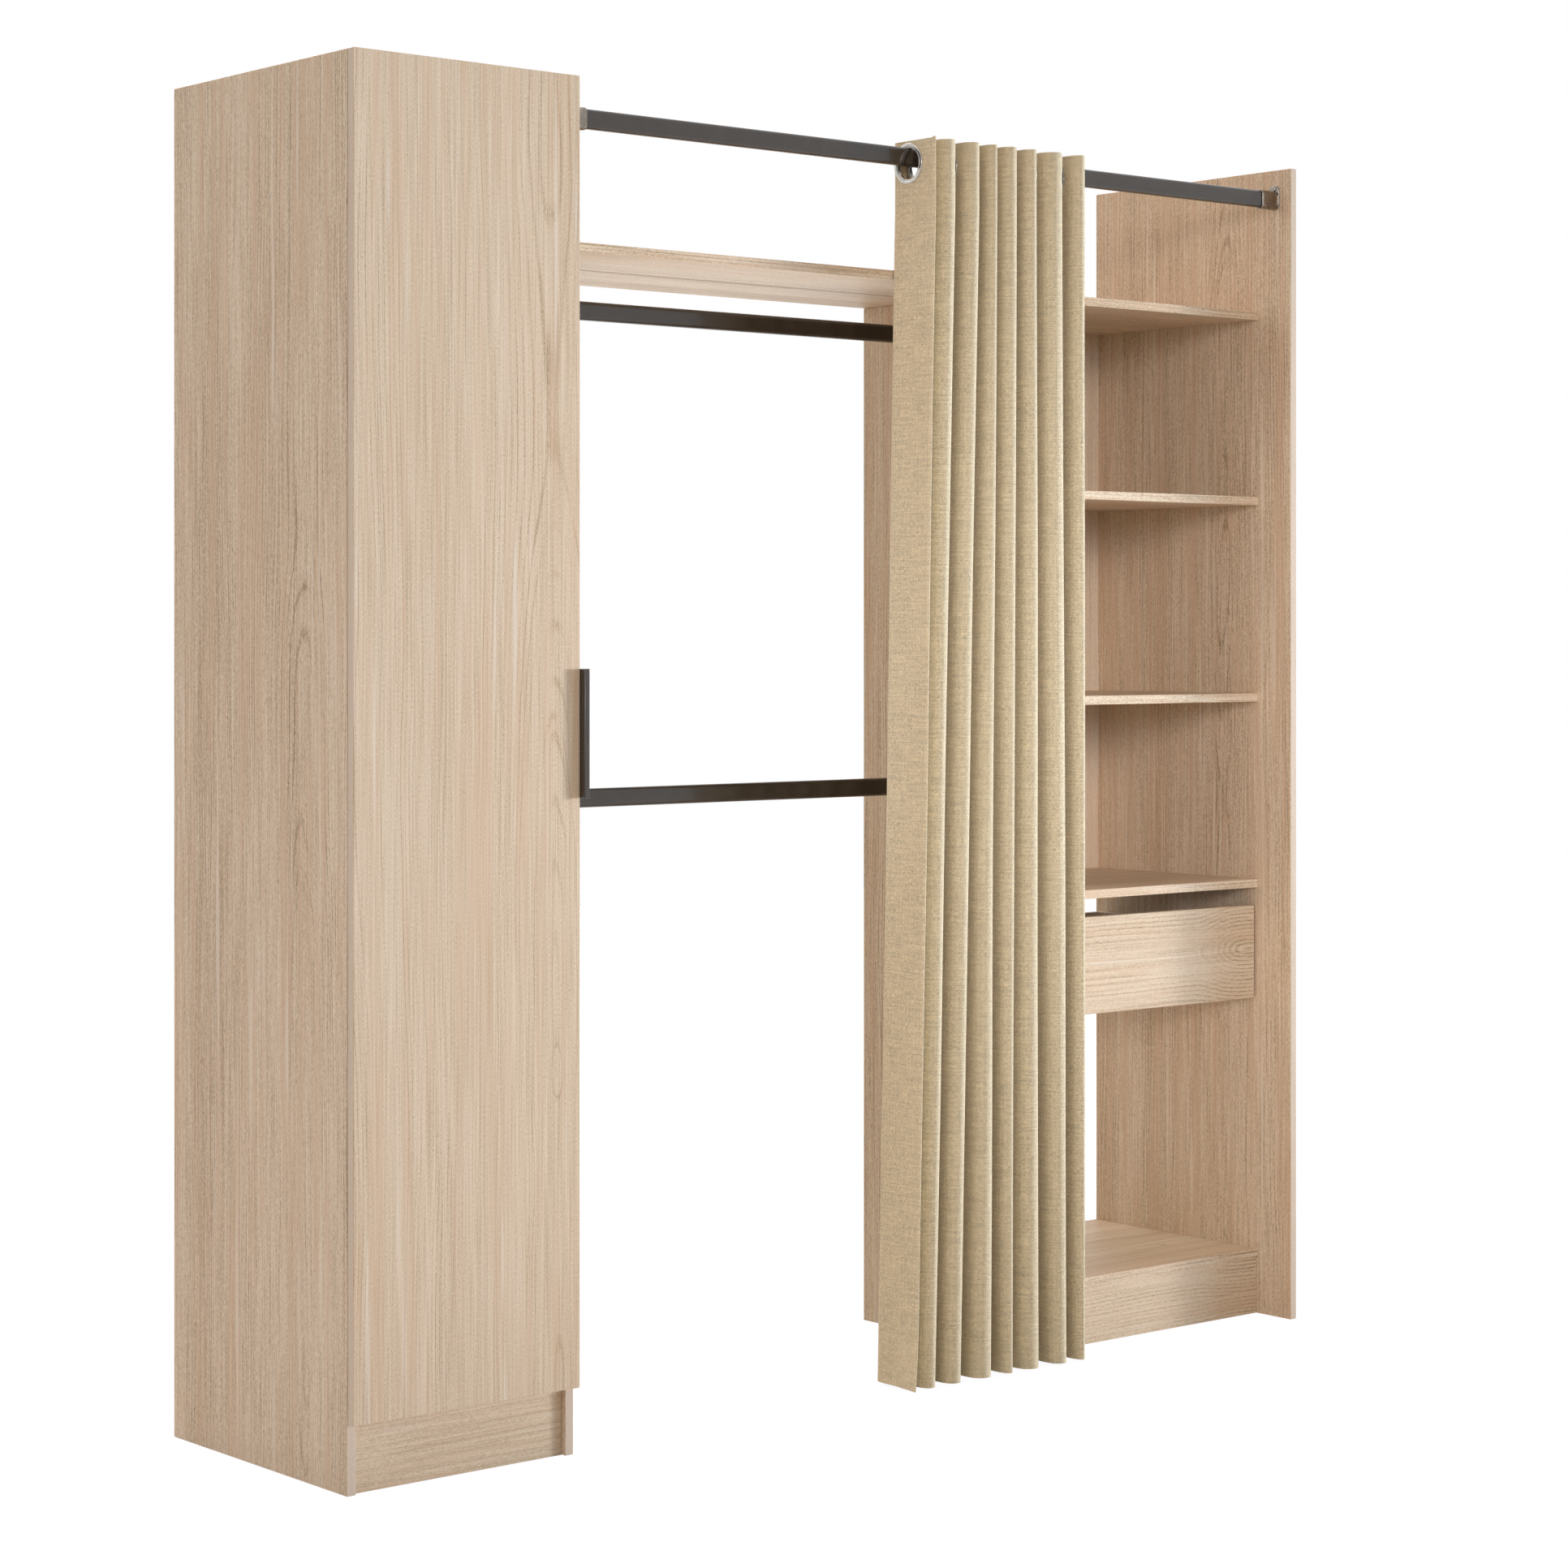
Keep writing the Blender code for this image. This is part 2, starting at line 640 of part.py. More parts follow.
def build_rails():
    cabinet = "cabinet_right_side"
    partition = "column_partition"
    bay = (x_cabinet_right, x_partition, y_hanging_rail)
    build_rail("upper_hanging_rail", *bay, z_upper_rail, cabinet, partition)
    build_rail("lower_hanging_rail", *bay, LOWER_RAIL_HEIGHT, cabinet, partition)
    whole = (x_cabinet_right, x_end_inner, y_curtain_rail)
    build_rail("curtain_rail", *whole, z_curtain_rail, cabinet, "column_end_panel")


def build_column():
    left = "column_partition"
    right = "column_end_panel"
    board(left, (x_partition, y_shelf_front, 0), (x_column_inner, y_back, z_partition_top))
    board(right, (x_end_inner, y_end_front, 0), (x_right, y_back, OVERALL_HEIGHT))
    across = (x_column_inner, x_end_inner)
    deep = (y_shelf_front, y_shelf_back)
    between("column_top_shelf", *across, *deep, z_partition_top - BOARD, z_partition_top)
    between("column_upper_shelf", *across, *deep, z_upper_shelf, z_upper_shelf + BOARD)
    between("column_lower_shelf", *across, *deep, z_lower_shelf, z_lower_shelf + BOARD)
    between("column_drawer_shelf", *across, *deep, z_drawer_shelf, z_drawer_shelf + BOARD)
    between("column_base", *across, y_shelf_front, y_back, BASE_HEIGHT, z_base_top)
    plinth_front = y_shelf_front + COLUMN_PLINTH_SETBACK
    between("column_plinth", *across, plinth_front, plinth_front + BOARD, 0, BASE_HEIGHT - FIT)
    back_panel("column_back", (left, right), *across, z_drawer_shelf, z_partition_top)


def build_drawer():
    y_front = y_shelf_front + DRAWER_RECESS
    y_front_back = y_front + BOARD
    y_box_end = y_front_back + DRAWER_BOX_LENGTH
    z_box = z_drawer_bottom + DRAWER_BOX_RISE
    z_box_top = z_box + DRAWER_BOX_HEIGHT
    z_bottom = z_box + DRAWER_BOTTOM_RISE
    x_box_left = x_column_inner + RUNNER_SPACE
    x_box_right = x_end_inner - RUNNER_SPACE
    front_low = (x_column_inner + DRAWER_SIDE_GAP, y_front, z_drawer_bottom)
    board("drawer_front", front_low, (x_end_inner - DRAWER_SIDE_GAP, y_front_back, z_drawer_top))
    groove = DRAWER_GROOVE - FIT
    x_in_left = x_box_left + DRAWER_BOX_BOARD
    x_in_right = x_box_right - DRAWER_BOX_BOARD
    bottom_low = (x_in_left - groove, y_front_back - groove, z_bottom)
    bottom_high = (x_in_right + groove, y_box_end, z_bottom + DRAWER_BOTTOM)
    panel("drawer_bottom", bottom_low, bottom_high, "hardboard")
    groove_low = Vector((x_in_left - DRAWER_GROOVE, y_front_back - DRAWER_GROOVE, z_bottom - FIT))
    groove_high = Vector((x_in_right + DRAWER_GROOVE, y_box_end + OVERRUN, z_bottom + DRAWER_BOTTOM + FIT))
    z_back = z_bottom + DRAWER_BOTTOM + FIT
    back_low = (x_in_left + FIT, y_box_end - DRAWER_BOX_BOARD, z_back)
    board("drawer_back", back_low, (x_in_right - FIT, y_box_end, z_box_top))
    for name, x_low, x_high, inwards in (
        ("drawer_left_side", x_box_left, x_in_left, 1),
        ("drawer_right_side", x_in_right, x_box_right, -1),
    ):
        board(name, (x_low, y_front_back + FIT, z_box), (x_high, y_box_end, z_box_top))
        cuts[name, "groove"].append(Block(groove_low, groove_high))
        x_outer = x_low if inwards == 1 else x_high
        build_runner(name, x_outer, inwards, y_front_back, z_box + DRAWER_BOX_HEIGHT / 2)
    cuts["drawer_front", "groove"].append(Block(groove_low, groove_high))


def build_runner(side_name, x_outer, inwards, y_start, z):
    """A channel on the upright, and inside it a narrower channel on the drawer side."""
    x_upright = x_outer - inwards * RUNNER_SPACE
    name = "left" if inwards == 1 else "right"
    upright = "column_partition" if inwards == 1 else "column_end_panel"
    y_middle = y_start + FIT + RUNNER_LENGTH / 2
    outer_half = RUNNER_HEIGHT / 2
    inner_half = outer_half - RUNNER_STEEL - FIT
    outer_start = FIT
    outer_end = RUNNER_CHANNEL_DEPTH
    inner_start = RUNNER_SPACE - FIT
    inner_end = RUNNER_STEEL + 3 * FIT
    for label, web, tips, half in (
        (f"{name}_runner", outer_start, outer_end, outer_half),
        (f"drawer_{name}_slide", inner_start, inner_end, inner_half),
    ):
        wall = RUNNER_STEEL if tips > web else -RUNNER_STEEL
        outline = [
            (web, -half),
            (tips, -half),
            (tips, -half + RUNNER_STEEL),
            (web + wall, -half + RUNNER_STEEL),
            (web + wall, half - RUNNER_STEEL),
            (tips, half - RUNNER_STEEL),
            (tips, half),
            (web, half),
        ]
        outline = [(inwards * x, height) for x, height in outline]
        channel = node(label, outline_mesh(label, [outline], RUNNER_LENGTH), "zinc")
        channel.matrix_world = (
            Matrix.Translation((x_upright, y_middle, z)) @ Matrix.Rotation(math.radians(90), 4, "X")
        )
    for end in (-1, 1):
        y = y_middle + end * (RUNNER_LENGTH / 2 - RUNNER_SCREW_INSET)
        seat = (x_upright + inwards * (RUNNER_STEEL + FIT), y, z)
        screw_at(f"{name}_runner", upright, seat, (-inwards, 0, 0), RUNNER_STEEL + FIT)
        seat = (x_outer - inwards * (RUNNER_STEEL + FIT), y, z)
        screw_at(f"drawer_{name}_slide", side_name, seat, (inwards, 0, 0), RUNNER_STEEL + FIT)


def bend(start, end, y, depth, bulge):
    """The points between two panel ends, round a bend that reaches depth beyond them."""
    middle = (start + end) / 2
    half = (end - start) / 2
    points = []
    for step in range(1, BEND_STEPS):
        angle = math.pi * step / BEND_STEPS
        x = middle - half * math.cos(angle) * (1 + bulge * math.sin(angle))
        points.append((x, y + depth * math.sin(angle)))
    return points


def curtain_plan(start, widths):
    """The curtain seen from above, from its first hem to its last, and the places of its panels."""
    y_front = y_curtain_rail - EYELET_OUTER
    y_rear = y_curtain_rail + EYELET_OUTER
    front_depth = EYELET_OUTER + CLOTH / 2 - FOLD_REACH
    rear_depth = y_shelf_front - CURTAIN_BACK_CLEARANCE - CLOTH / 2 - y_rear
    x_flap = start - FLAP_OFFSET
    points = [(x_flap, y_front + front_depth), (x_flap, y_rear)]
    panels = [((x_flap, y_front), (x_flap, y_rear))]
    x_edge = start
    x_rear = x_flap
    for number, width in enumerate(widths, start=1):
        centre = x_edge + width / 2
        front = PANEL_FRONT_SHARE * width
        rear = PANEL_BACK_SHARE * width
        points += bend(x_rear, centre - rear, y_rear, rear_depth, 0)
        points += [(centre - rear, y_rear), (centre - front, y_front)]
        points += bend(centre - front, centre + front, y_front, front_depth, FOLD_BULGE_SHARE)
        points.append((centre + front, y_front))
        panels.append(((centre - front, y_front), (centre - rear, y_rear)))
        if number == len(widths):
            break
        points.append((centre + rear, y_rear))
        panels.append(((centre + front, y_front), (centre + rear, y_rear)))
        x_rear = centre + rear
        x_edge += width
    return points, panels


def curtain_sheet(rows):
    """A grid bent to the plan of each row, given as (height, points)."""
    columns = len(rows[0][1]) - 1
    built = bmesh.new()
    bmesh.ops.create_grid(built, x_segments=columns, y_segments=len(rows) - 1, size=1)
    for vert in built.verts:
        column = round((vert.co.x + 1) / 2 * columns)
        row = round((vert.co.y + 1) / 2 * (len(rows) - 1))
        height, points = rows[row]
        vert.co = (*points[column], height)
    mesh = bpy.data.meshes.new("curtain")
    built.to_mesh(mesh)
    built.free()
    return mesh


def make_eyelet_shape():
    """A flanged ring round Z that holds the cloth in its middle plane."""
    seat = CLOTH / 2 + FIT
    face = seat + EYELET_FLANGE
    shoulder = EYELET_OUTER - EYELET_CHAMFER
    barrel = EYELET_BORE + EYELET_BARREL_WALL
    profile = [(EYELET_BORE, face), (shoulder, face), (EYELET_OUTER, seat), (barrel, seat)]
    profile += [(radius, -height) for radius, height in reversed(profile)]
    return turned_mesh("eyelet_shape", profile, RING_STEPS, closed=True)


def build_curtain():
    flat_share = math.cos(math.pi / RING_STEPS)
    z_eyelet = z_curtain_rail + RAIL_HEIGHT / 2 + FIT - EYELET_BORE * flat_share
    z_hem = z_eyelet + EYELET_TO_HEM
    top, panels = curtain_plan(x_partition - CURTAIN_LEAD, FOLD_WIDTHS)
    foot, _ = curtain_plan(x_partition - CURTAIN_FOOT_LEAD, FOLD_FOOT_WIDTHS)
    rows = ((CURTAIN_FLOOR_GAP, foot), (z_hem - EYELET_BAND, top), (z_hem, top))
    curtain = node("curtain", curtain_sheet(rows), "linen")
    thickness = curtain.modifiers.new("thickness", "SOLIDIFY")
    thickness.thickness = CLOTH
    thickness.offset = 0
    thickness.use_even_offset = True
    hole = (EYELET_BORE + EYELET_BARREL_WALL + FIT) / flat_share
    ring = make_eyelet_shape()
    for number, (front, rear) in enumerate(panels, start=1):
        along = (Vector((*rear, 0)) - Vector((*front, 0))).normalized()
        normal = along.cross(Vector((0, 0, 1)))
        centre = Vector(((front[0] + rear[0]) / 2, y_curtain_rail, z_eyelet))
        place = Matrix((along, Vector((0, 0, 1)), normal)).transposed().to_4x4()
        place.translation = centre
        shapes_node(f"curtain_eyelet_{number:02d}", [Copy(ring, place)], "chrome", round_shape=True)
        reach = normal * (CLOTH / 2 + OVERRUN)
        cuts["curtain", "eyelet_holes"].append(Rod(centre - reach, centre + reach, hole, RING_STEPS))


def pieces(*starts):
    """The closet's pieces whose names start with any of these."""
    return [thing for thing in closet.objects if thing.name.startswith(starts)]


def hang_on(name, place, moving):
    """Parents the pieces that move together to an empty on their joint's axis."""
    axis = bpy.data.objects.new(name, None)
    axis.location = place
    closet.objects.link(axis)
    bpy.context.view_layer.update()
    for thing in moving:
        thing.parent = axis
        thing.matrix_parent_inverse = axis.matrix_world.inverted()


clear_scene()
closet = new_collection("closet_organizer")
cutters = new_collection("cutters")
screw_shape = make_screw_shape()
socket_shape = make_socket_shape()

build_cabinet()
build_column()
build_hanging_bay()
build_rails()
build_door()
build_drawer()
build_curtain()
combine(joins, "UNION")
combine(cuts, "DIFFERENCE")

x_drawer = (x_column_inner + x_end_inner) / 2
door_pieces = pieces("cabinet_door", "door_handle", "hinge_cup")
curtain_pieces = [bpy.data.objects["curtain"], *pieces("curtain_eyelet")]
hang_on("door_axis", (x_left, y_door_back, z_door_bottom), door_pieces)
hang_on("drawer_axis", (x_drawer, y_shelf_front, z_drawer_bottom), pieces("drawer_"))
hang_on("curtain_axis", (x_cabinet_right, y_curtain_rail, z_curtain_rail), curtain_pieces)
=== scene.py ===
# %% [markdown]
# # A closet organizer with a door, an open bay, a drawer column and an eyelet curtain
#
# The boards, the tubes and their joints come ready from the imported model. This lesson dresses them:
# it gives every surface its finish, makes the finer metal parts as by hand, and hangs a cloth
# curtain in place of the plain one. Metres throughout, +Z up, fronts facing -Y.

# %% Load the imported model
import math

import bmesh
import bpy
from mathutils import Matrix, Vector


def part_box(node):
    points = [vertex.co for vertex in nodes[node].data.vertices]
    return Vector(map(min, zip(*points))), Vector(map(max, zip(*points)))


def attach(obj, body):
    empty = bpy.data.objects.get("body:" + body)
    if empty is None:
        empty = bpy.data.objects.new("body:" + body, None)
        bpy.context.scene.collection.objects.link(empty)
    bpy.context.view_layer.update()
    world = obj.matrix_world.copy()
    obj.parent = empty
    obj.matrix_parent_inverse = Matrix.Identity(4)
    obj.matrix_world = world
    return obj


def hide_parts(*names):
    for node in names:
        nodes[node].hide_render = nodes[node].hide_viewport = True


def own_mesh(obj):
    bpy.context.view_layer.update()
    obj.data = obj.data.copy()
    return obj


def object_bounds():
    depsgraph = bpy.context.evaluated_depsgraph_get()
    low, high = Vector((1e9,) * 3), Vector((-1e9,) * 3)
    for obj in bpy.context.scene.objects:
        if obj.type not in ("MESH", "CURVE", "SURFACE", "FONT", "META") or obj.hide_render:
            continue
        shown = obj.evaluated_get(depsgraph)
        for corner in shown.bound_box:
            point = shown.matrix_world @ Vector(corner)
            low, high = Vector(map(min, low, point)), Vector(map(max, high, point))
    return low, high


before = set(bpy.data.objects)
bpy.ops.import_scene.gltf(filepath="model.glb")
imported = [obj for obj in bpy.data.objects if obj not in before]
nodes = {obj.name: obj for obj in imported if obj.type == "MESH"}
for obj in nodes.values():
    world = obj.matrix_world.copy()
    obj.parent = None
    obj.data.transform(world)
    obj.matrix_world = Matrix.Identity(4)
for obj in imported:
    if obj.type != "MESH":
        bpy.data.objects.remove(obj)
cad_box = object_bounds()
print("CAD box:", cad_box)

# %% [markdown]
# ## The camera
#
# The photographer stood to the left of the closet, at chest height, and kept the camera level so
# that every upright stays upright. A tilted camera would make them lean, so the frame is moved down
# with the lens shift.


# %% Camera
def new_object(name, data):
    """An object in the scene that shows some data."""
    thing = bpy.data.objects.new(name, data)
    bpy.context.scene.collection.objects.link(thing)
    return thing


camera_data = bpy.data.cameras.new("camera")
camera_data.sensor_width = 36
camera_data.lens = 79.66
camera_data.shift_y = -0.09595
camera = new_object("camera", camera_data)
camera.location = (-3.6456, -4.3395, 1.2098)
camera.rotation_euler = (math.pi / 2, 0, -0.69853)
bpy.context.scene.camera = camera
print("camera at", tuple(camera.location))

# %% [markdown]
# ## A small bench for finishes
#
# A finish is a graph of shader nodes. Placing dozens of them by hand hides the recipe, so each
# number on the bench is wrapped in a class that Python's own arithmetic works on: `1 - mask` then
# adds the Math node that it names. Everything else comes from one method, `add`, which sets a
# node's settings before its sockets.


# %% The bench
def srgb(red, green, blue):
    """The linear colour of a screen colour of 0 to 255."""
    shares = [value / 255 for value in (red, green, blue)]
    return (*[s / 12.92 if s <= 0.04045 else ((s + 0.055) / 1.055) ** 2.4 for s in shares], 1)


class Value:
    """A number, colour or vector on the bench. Arithmetic is for numbers alone."""

    def __init__(self, finish, socket):
        self.finish = finish
        self.socket = socket

    def __add__(self, other):
        return self.finish.maths("ADD", self, other)

    def __sub__(self, other):
        return self.finish.maths("SUBTRACT", self, other)

    def __rsub__(self, other):
        return self.finish.maths("SUBTRACT", other, self)

    def __mul__(self, other):
        return self.finish.maths("MULTIPLY", self, other)

    def __truediv__(self, other):
        return self.finish.maths("DIVIDE", self, other)

    def __gt__(self, other):
        return self.finish.maths("GREATER_THAN", self, other)

    def __abs__(self):
        return self.finish.maths("ABSOLUTE", self)

    __radd__ = __add__
    __rmul__ = __mul__


class Finish:
    """A material and the nodes that make it."""

    def __init__(self, name, constants):
        self.material = bpy.data.materials.new(name)
        self.material.use_nodes = True
        self.tree = self.material.node_tree
        self.shader = self.tree.nodes["Principled BSDF"]
        for socket, value in constants.items():
            self.shader.inputs[socket].default_value = value

    def feed(self, socket, value):
        if isinstance(value, Value):
            self.tree.links.new(value.socket, socket)
        else:
            socket.default_value = value

    def add(self, kind, settings, inputs, output=0):
        node = self.tree.nodes.new(kind)
        for name, value in settings.items():
            if name == "stops":
                stops = node.color_ramp.elements
                while len(stops) < len(value):
                    stops.new(1)
                for stop, (position, colour) in zip(stops, value):
                    stop.position = position
                    stop.color = colour
            else:
                setattr(node, name, value)
        for socket, value in inputs.items():
            self.feed(node.inputs[socket], value)
        return Value(self, node.outputs[output])

    def surface(self, socket, value):
        """Feeds a socket of the shader itself."""
        self.feed(self.shader.inputs[socket], value)

    def maths(self, operation, first, second=0.0):
        return self.add("ShaderNodeMath", {"operation": operation}, {0: first, 1: second})

    def coordinates(self, kind):
        return self.add("ShaderNodeTexCoord", {}, {}, kind)

    def part(self, vector, axis):
        return self.add("ShaderNodeSeparateXYZ", {}, {0: vector}, "XYZ".index(axis))

    def scaled(self, vector, scale):
        return self.add("ShaderNodeVectorMath", {"operation": "MULTIPLY"}, {0: vector, 1: scale})

    def noise(self, vector, detail=2.0, roughness=0.5):
        inputs = {"Vector": vector, "Scale": 1.0, "Detail": detail, "Roughness": roughness}
        return self.add("ShaderNodeTexNoise", {}, inputs)

    def smooth(self, value, low, high):
        """From 0 below low to 1 above high, eased at both ends."""
        inputs = {"Value": value, "From Min": low, "From Max": high}
        return self.add("ShaderNodeMapRange", {"interpolation_type": "SMOOTHSTEP"}, inputs)

    def ramp(self, value, stops):
        return self.add("ShaderNodeValToRGB", {"stops": stops}, {0: value})

    def blend(self, factor, first, second):
        """Two colours in one."""
        return self.add("ShaderNodeMix", {"data_type": "RGBA"}, {0: factor, 6: first, 7: second}, 2)

    def bump(self, height, distance, strength=1.0):
        inputs = {"Height": height, "Distance": distance, "Strength": strength}
        self.surface("Normal", self.add("ShaderNodeBump", {}, inputs))


print("bench ready")

# %% [markdown]
# ## Oak print
#
# The boards are particle board with a printed oak foil: a light ground with a fine straight pin
# stripe, growth lines that run straight near a board's sides and close into long arches along its
# heart, broad reddish bands, a few pale lines, and short dark pores. The print has hardly any
# relief. An image could carry all this, but a solid pattern gives each board its own piece of the
# tree and never repeats.
#
# The arches come from the way a plain-sawn board is cut: a ring is a circle round the heart, the
# board passes the heart at some distance, and that distance changes slowly along the trunk. So the
# ring that a point lies on is the root of a sum of two squares. The growth lines are broken into
# short dashes, and every few rings one is darker. Everything else is noise, squeezed across the
# grain and stretched along it.
#
# The band that covers a board's narrow sides is a separate strip. On the uprights it is plainer and
# a little lighter than the faces, and on their top ends the strip's grain runs front to back. The
# drawer front has a small flame of nested arches near its right end, where the board comes close to
# the heart.


# %% Oak
RING_STEP, DARK_RING_STEP = 0.0068, 0.031  # metres from one growth line, or dark line, to the next
HEART_REACH = 0.2  # metres from the heart of the print to where it is mirrored
GROUND = [
    (0.05, srgb(150, 126, 100)),
    (0.32, srgb(196, 172, 145)),
    (0.50, srgb(221, 201, 177)),
    (0.66, srgb(231, 214, 193)),
    (0.90, srgb(242, 231, 216)),
]
REDDISH, PALE, PLAIN_STRIP = srgb(214, 182, 153), srgb(232, 220, 206), srgb(213, 196, 180)


def oak(name, along, broad, heart=0.1, plain_bands=False, deepen=1.0, flame=None):
    """Oak print with its grain along one axis, on a board whose faces look along the axis broad.

    The heart is where the middle of the print lies, deepen strengthens its figure, and a flame has
    a place along the grain and a reach.
    """
    wood = Finish(name, {"Roughness": 0.5, "Specular IOR Level": 0.4})
    here = wood.coordinates("Object")
    facing = wood.coordinates("Normal")
    swapped = {"Z": "XZY", "X": "YXZ"}[along]
    ends = abs(wood.part(facing, along)) > 0.7
    parts = {i: wood.part(here, axis) for i, axis in enumerate(swapped)}
    turned = wood.add("ShaderNodeCombineXYZ", {}, parts)
    here = wood.add("ShaderNodeMix", {"data_type": "VECTOR"}, {0: ends, 4: here, 5: turned}, 1)

    def grain(across, length, detail=2.0, roughness=0.5):
        """Noise with so many features a metre across the grain and along it, round zero."""
        stretch = tuple(length if axis == along else across for axis in "XYZ")
        return wood.noise(wood.scaled(here, stretch), detail, roughness) - 0.5

    one, other = (wood.part(here, axis) for axis in "XYZ" if axis != along)
    trunk = wood.part(here, along)
    beside = one + other + grain(2.6, 1.3) * 0.05 + (2 - heart)
    beside = wood.maths("PINGPONG", beside, HEART_REACH)
    behind = abs(trunk * 0.03 + grain(1.6, 0.9) * 0.16) + 0.01
    zone = wood.smooth(grain(16, 1.0), -0.05, 0.12)
    line_depth = 0.15
    if flame:
        place, reach = flame
        outside = wood.smooth(abs(trunk - place), 0, reach)
        behind = outside * 0.045 + 0.004
        zone = wood.maths("MAXIMUM", zone, 1 - outside)
        line_depth = 0.27 - outside * 0.12
    radius = wood.maths("SQRT", beside * beside + behind * behind) + grain(45, 3.0) * 0.003
    growth = abs(wood.maths("FRACT", radius / RING_STEP) - 0.5)
    dashes = 0.35 + wood.smooth(grain(700, 110, 1.0), -0.08, 0.08) * 0.65
    lines = (1 - wood.smooth(growth, 0.0, 0.17 if not flame else 0.32)) * dashes * zone
    years = abs(wood.maths("FRACT", radius / DARK_RING_STEP) - 0.5)
    edges = (1 - wood.smooth(years, 0.0, 0.035)) * wood.smooth(grain(60, 2.2), -0.12, 0.06)
    pins = grain(420, 5.0, 2.0, 0.6)
    fuzz = grain(1000, 260, 1.0)
    bands = wood.smooth(grain(55, 1.6, 3.0, 0.6), -0.05, 0.16)
    pale = wood.smooth(grain(120, 2.0), 0.10, 0.24)
    pores = wood.smooth(grain(1000, 90, 1.0), 0.12, 0.28)
    shade = 0.47 + (pins * 0.36 + fuzz * 0.36 + grain(9, 0.8) * 0.16) * deepen
    shade = shade - (lines * line_depth + edges * 0.09 + pores * 0.10) * deepen
    colour = wood.ramp(shade, GROUND)
    colour = wood.blend(bands * (0.30 + 0.08 * deepen), colour, REDDISH)
    colour = wood.blend(pale * (0.40 + 0.12 * deepen), colour, PALE)
    if plain_bands:
        strips = 1 - (abs(wood.part(facing, broad)) > 0.6)
        colour = wood.blend(strips * 0.8, colour, PLAIN_STRIP)
    wood.surface("Base Color", colour)
    wood.surface("Roughness", 0.47 + pores * 0.2 - pins * 0.2)
    wood.bump(pins - pores * 0.8, 0.00012, 0.6)
    return wood


def printed_colour(finish):
    """The colour that a finish shows so far, to paint over a part of it."""
    return Value(finish, finish.shader.inputs["Base Color"].links[0].from_socket)


oak_upright = oak("oak_upright", "Z", "X", plain_bands=True, deepen=2.5)
oak_front = oak("oak_front", "Z", "Y", heart=-0.875, plain_bands=True, deepen=1.45)
oak_shelf = oak("oak_shelf", "X", "Z", deepen=2.4)
oak_flame = oak("oak_flame", "X", "Y", heart=0.10, deepen=1.2, flame=(0.955, 0.14))
oaks = (oak_upright, oak_front, oak_shelf, oak_flame)
print("oak finishes:", [wood.material.name for wood in oaks])

# %% [markdown]
# The cabinet's two loose shelves come in one piece with the four steel pins that they lie on. What
# stands out at a board's ends or hangs below it is pin, and gets the look of plated steel.


# %% Shelves with pins
BOARD = 0.015
PIN_REACH = 0.1819  # from the middle of the shelf to its end, where the pins begin
HAIR = 0.00005  # a hair's breadth, to tell one side of an edge from the other
PIN_STEEL = srgb(186, 184, 180)


def pinned_shelf(name):
    low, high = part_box(name)
    shelf = oak(f"oak_{name}", "X", "Z", deepen=2.4)
    here = shelf.coordinates("Object")
    below = 1 - (shelf.part(here, "Z") > high[2] - BOARD - HAIR)
    beyond = abs(shelf.part(here, "X") - (low[0] + high[0]) / 2) > PIN_REACH
    pin = shelf.maths("MAXIMUM", below, beyond)
    shelf.surface("Base Color", shelf.blend(pin, printed_colour(shelf), PIN_STEEL))
    shelf.surface("Metallic", pin)
    return shelf


loose_shelves = {name: pinned_shelf(name) for name in ("cabinet_shelf_1", "cabinet_shelf_3")}
print("shelves with pins:", len(loose_shelves))

# %% [markdown]
# ## Hardboard
#
# The thin backs carry the same print on the side that faces the room. The other side, which faces
# the wall, is bare fibre board: brown, with short fibres and a faint cloudiness. The face is told
# from the back by the direction that the surface looks in, before any turning of the object.

# %% Hardboard
hardboard = oak("printed_hardboard", "Z", "Y")
here = hardboard.coordinates("Object")
fibres = hardboard.noise(hardboard.scaled(here, (900, 900, 350)), 3.0, 0.6)
clouds = hardboard.noise(hardboard.scaled(here, (14, 14, 9)), 2.0, 0.5)
fibre_browns = [(0.3, srgb(118, 86, 58)), (0.7, srgb(160, 124, 88))]
bare = hardboard.ramp(fibres * 0.6 + clouds * 0.4, fibre_browns)
rear = hardboard.part(hardboard.coordinates("Normal"), "Y") > 0.3
hardboard.surface("Base Color", hardboard.blend(rear, printed_colour(hardboard), bare))
print("hardboard ready")

# %% [markdown]
# ## Metals
#
# Black enamel on the rails and the handle, dark chrome on the rail sockets, polished chrome on the
# eyelets, nickel on the hinges and zinc on the runners. What tells them apart is how evenly they
# shine: enamel has a faint orange peel, polished chrome almost none, zinc is clouded.


# %% Metals
def metal(name, colour, worn, metallic, roughness, spread, peel, constants=()):
    """A metal or enamel whose gloss varies by spread, with a peel this deep in metres."""
    finish = Finish(name, {"Metallic": metallic, **dict(constants)})
    here = finish.coordinates("Object")
    clouds = finish.noise(finish.scaled(here, (35, 35, 35)), 3.0, 0.6)
    grit = finish.noise(finish.scaled(here, (900, 900, 900)), 2.0, 0.5)
    finish.surface("Base Color", finish.blend(finish.smooth(clouds, 0.35, 0.7), colour, worn))
    finish.surface("Roughness", roughness + (clouds - 0.5) * spread + (grit - 0.5) * spread * 0.5)
    finish.bump(grit, peel, 0.5)
    return finish


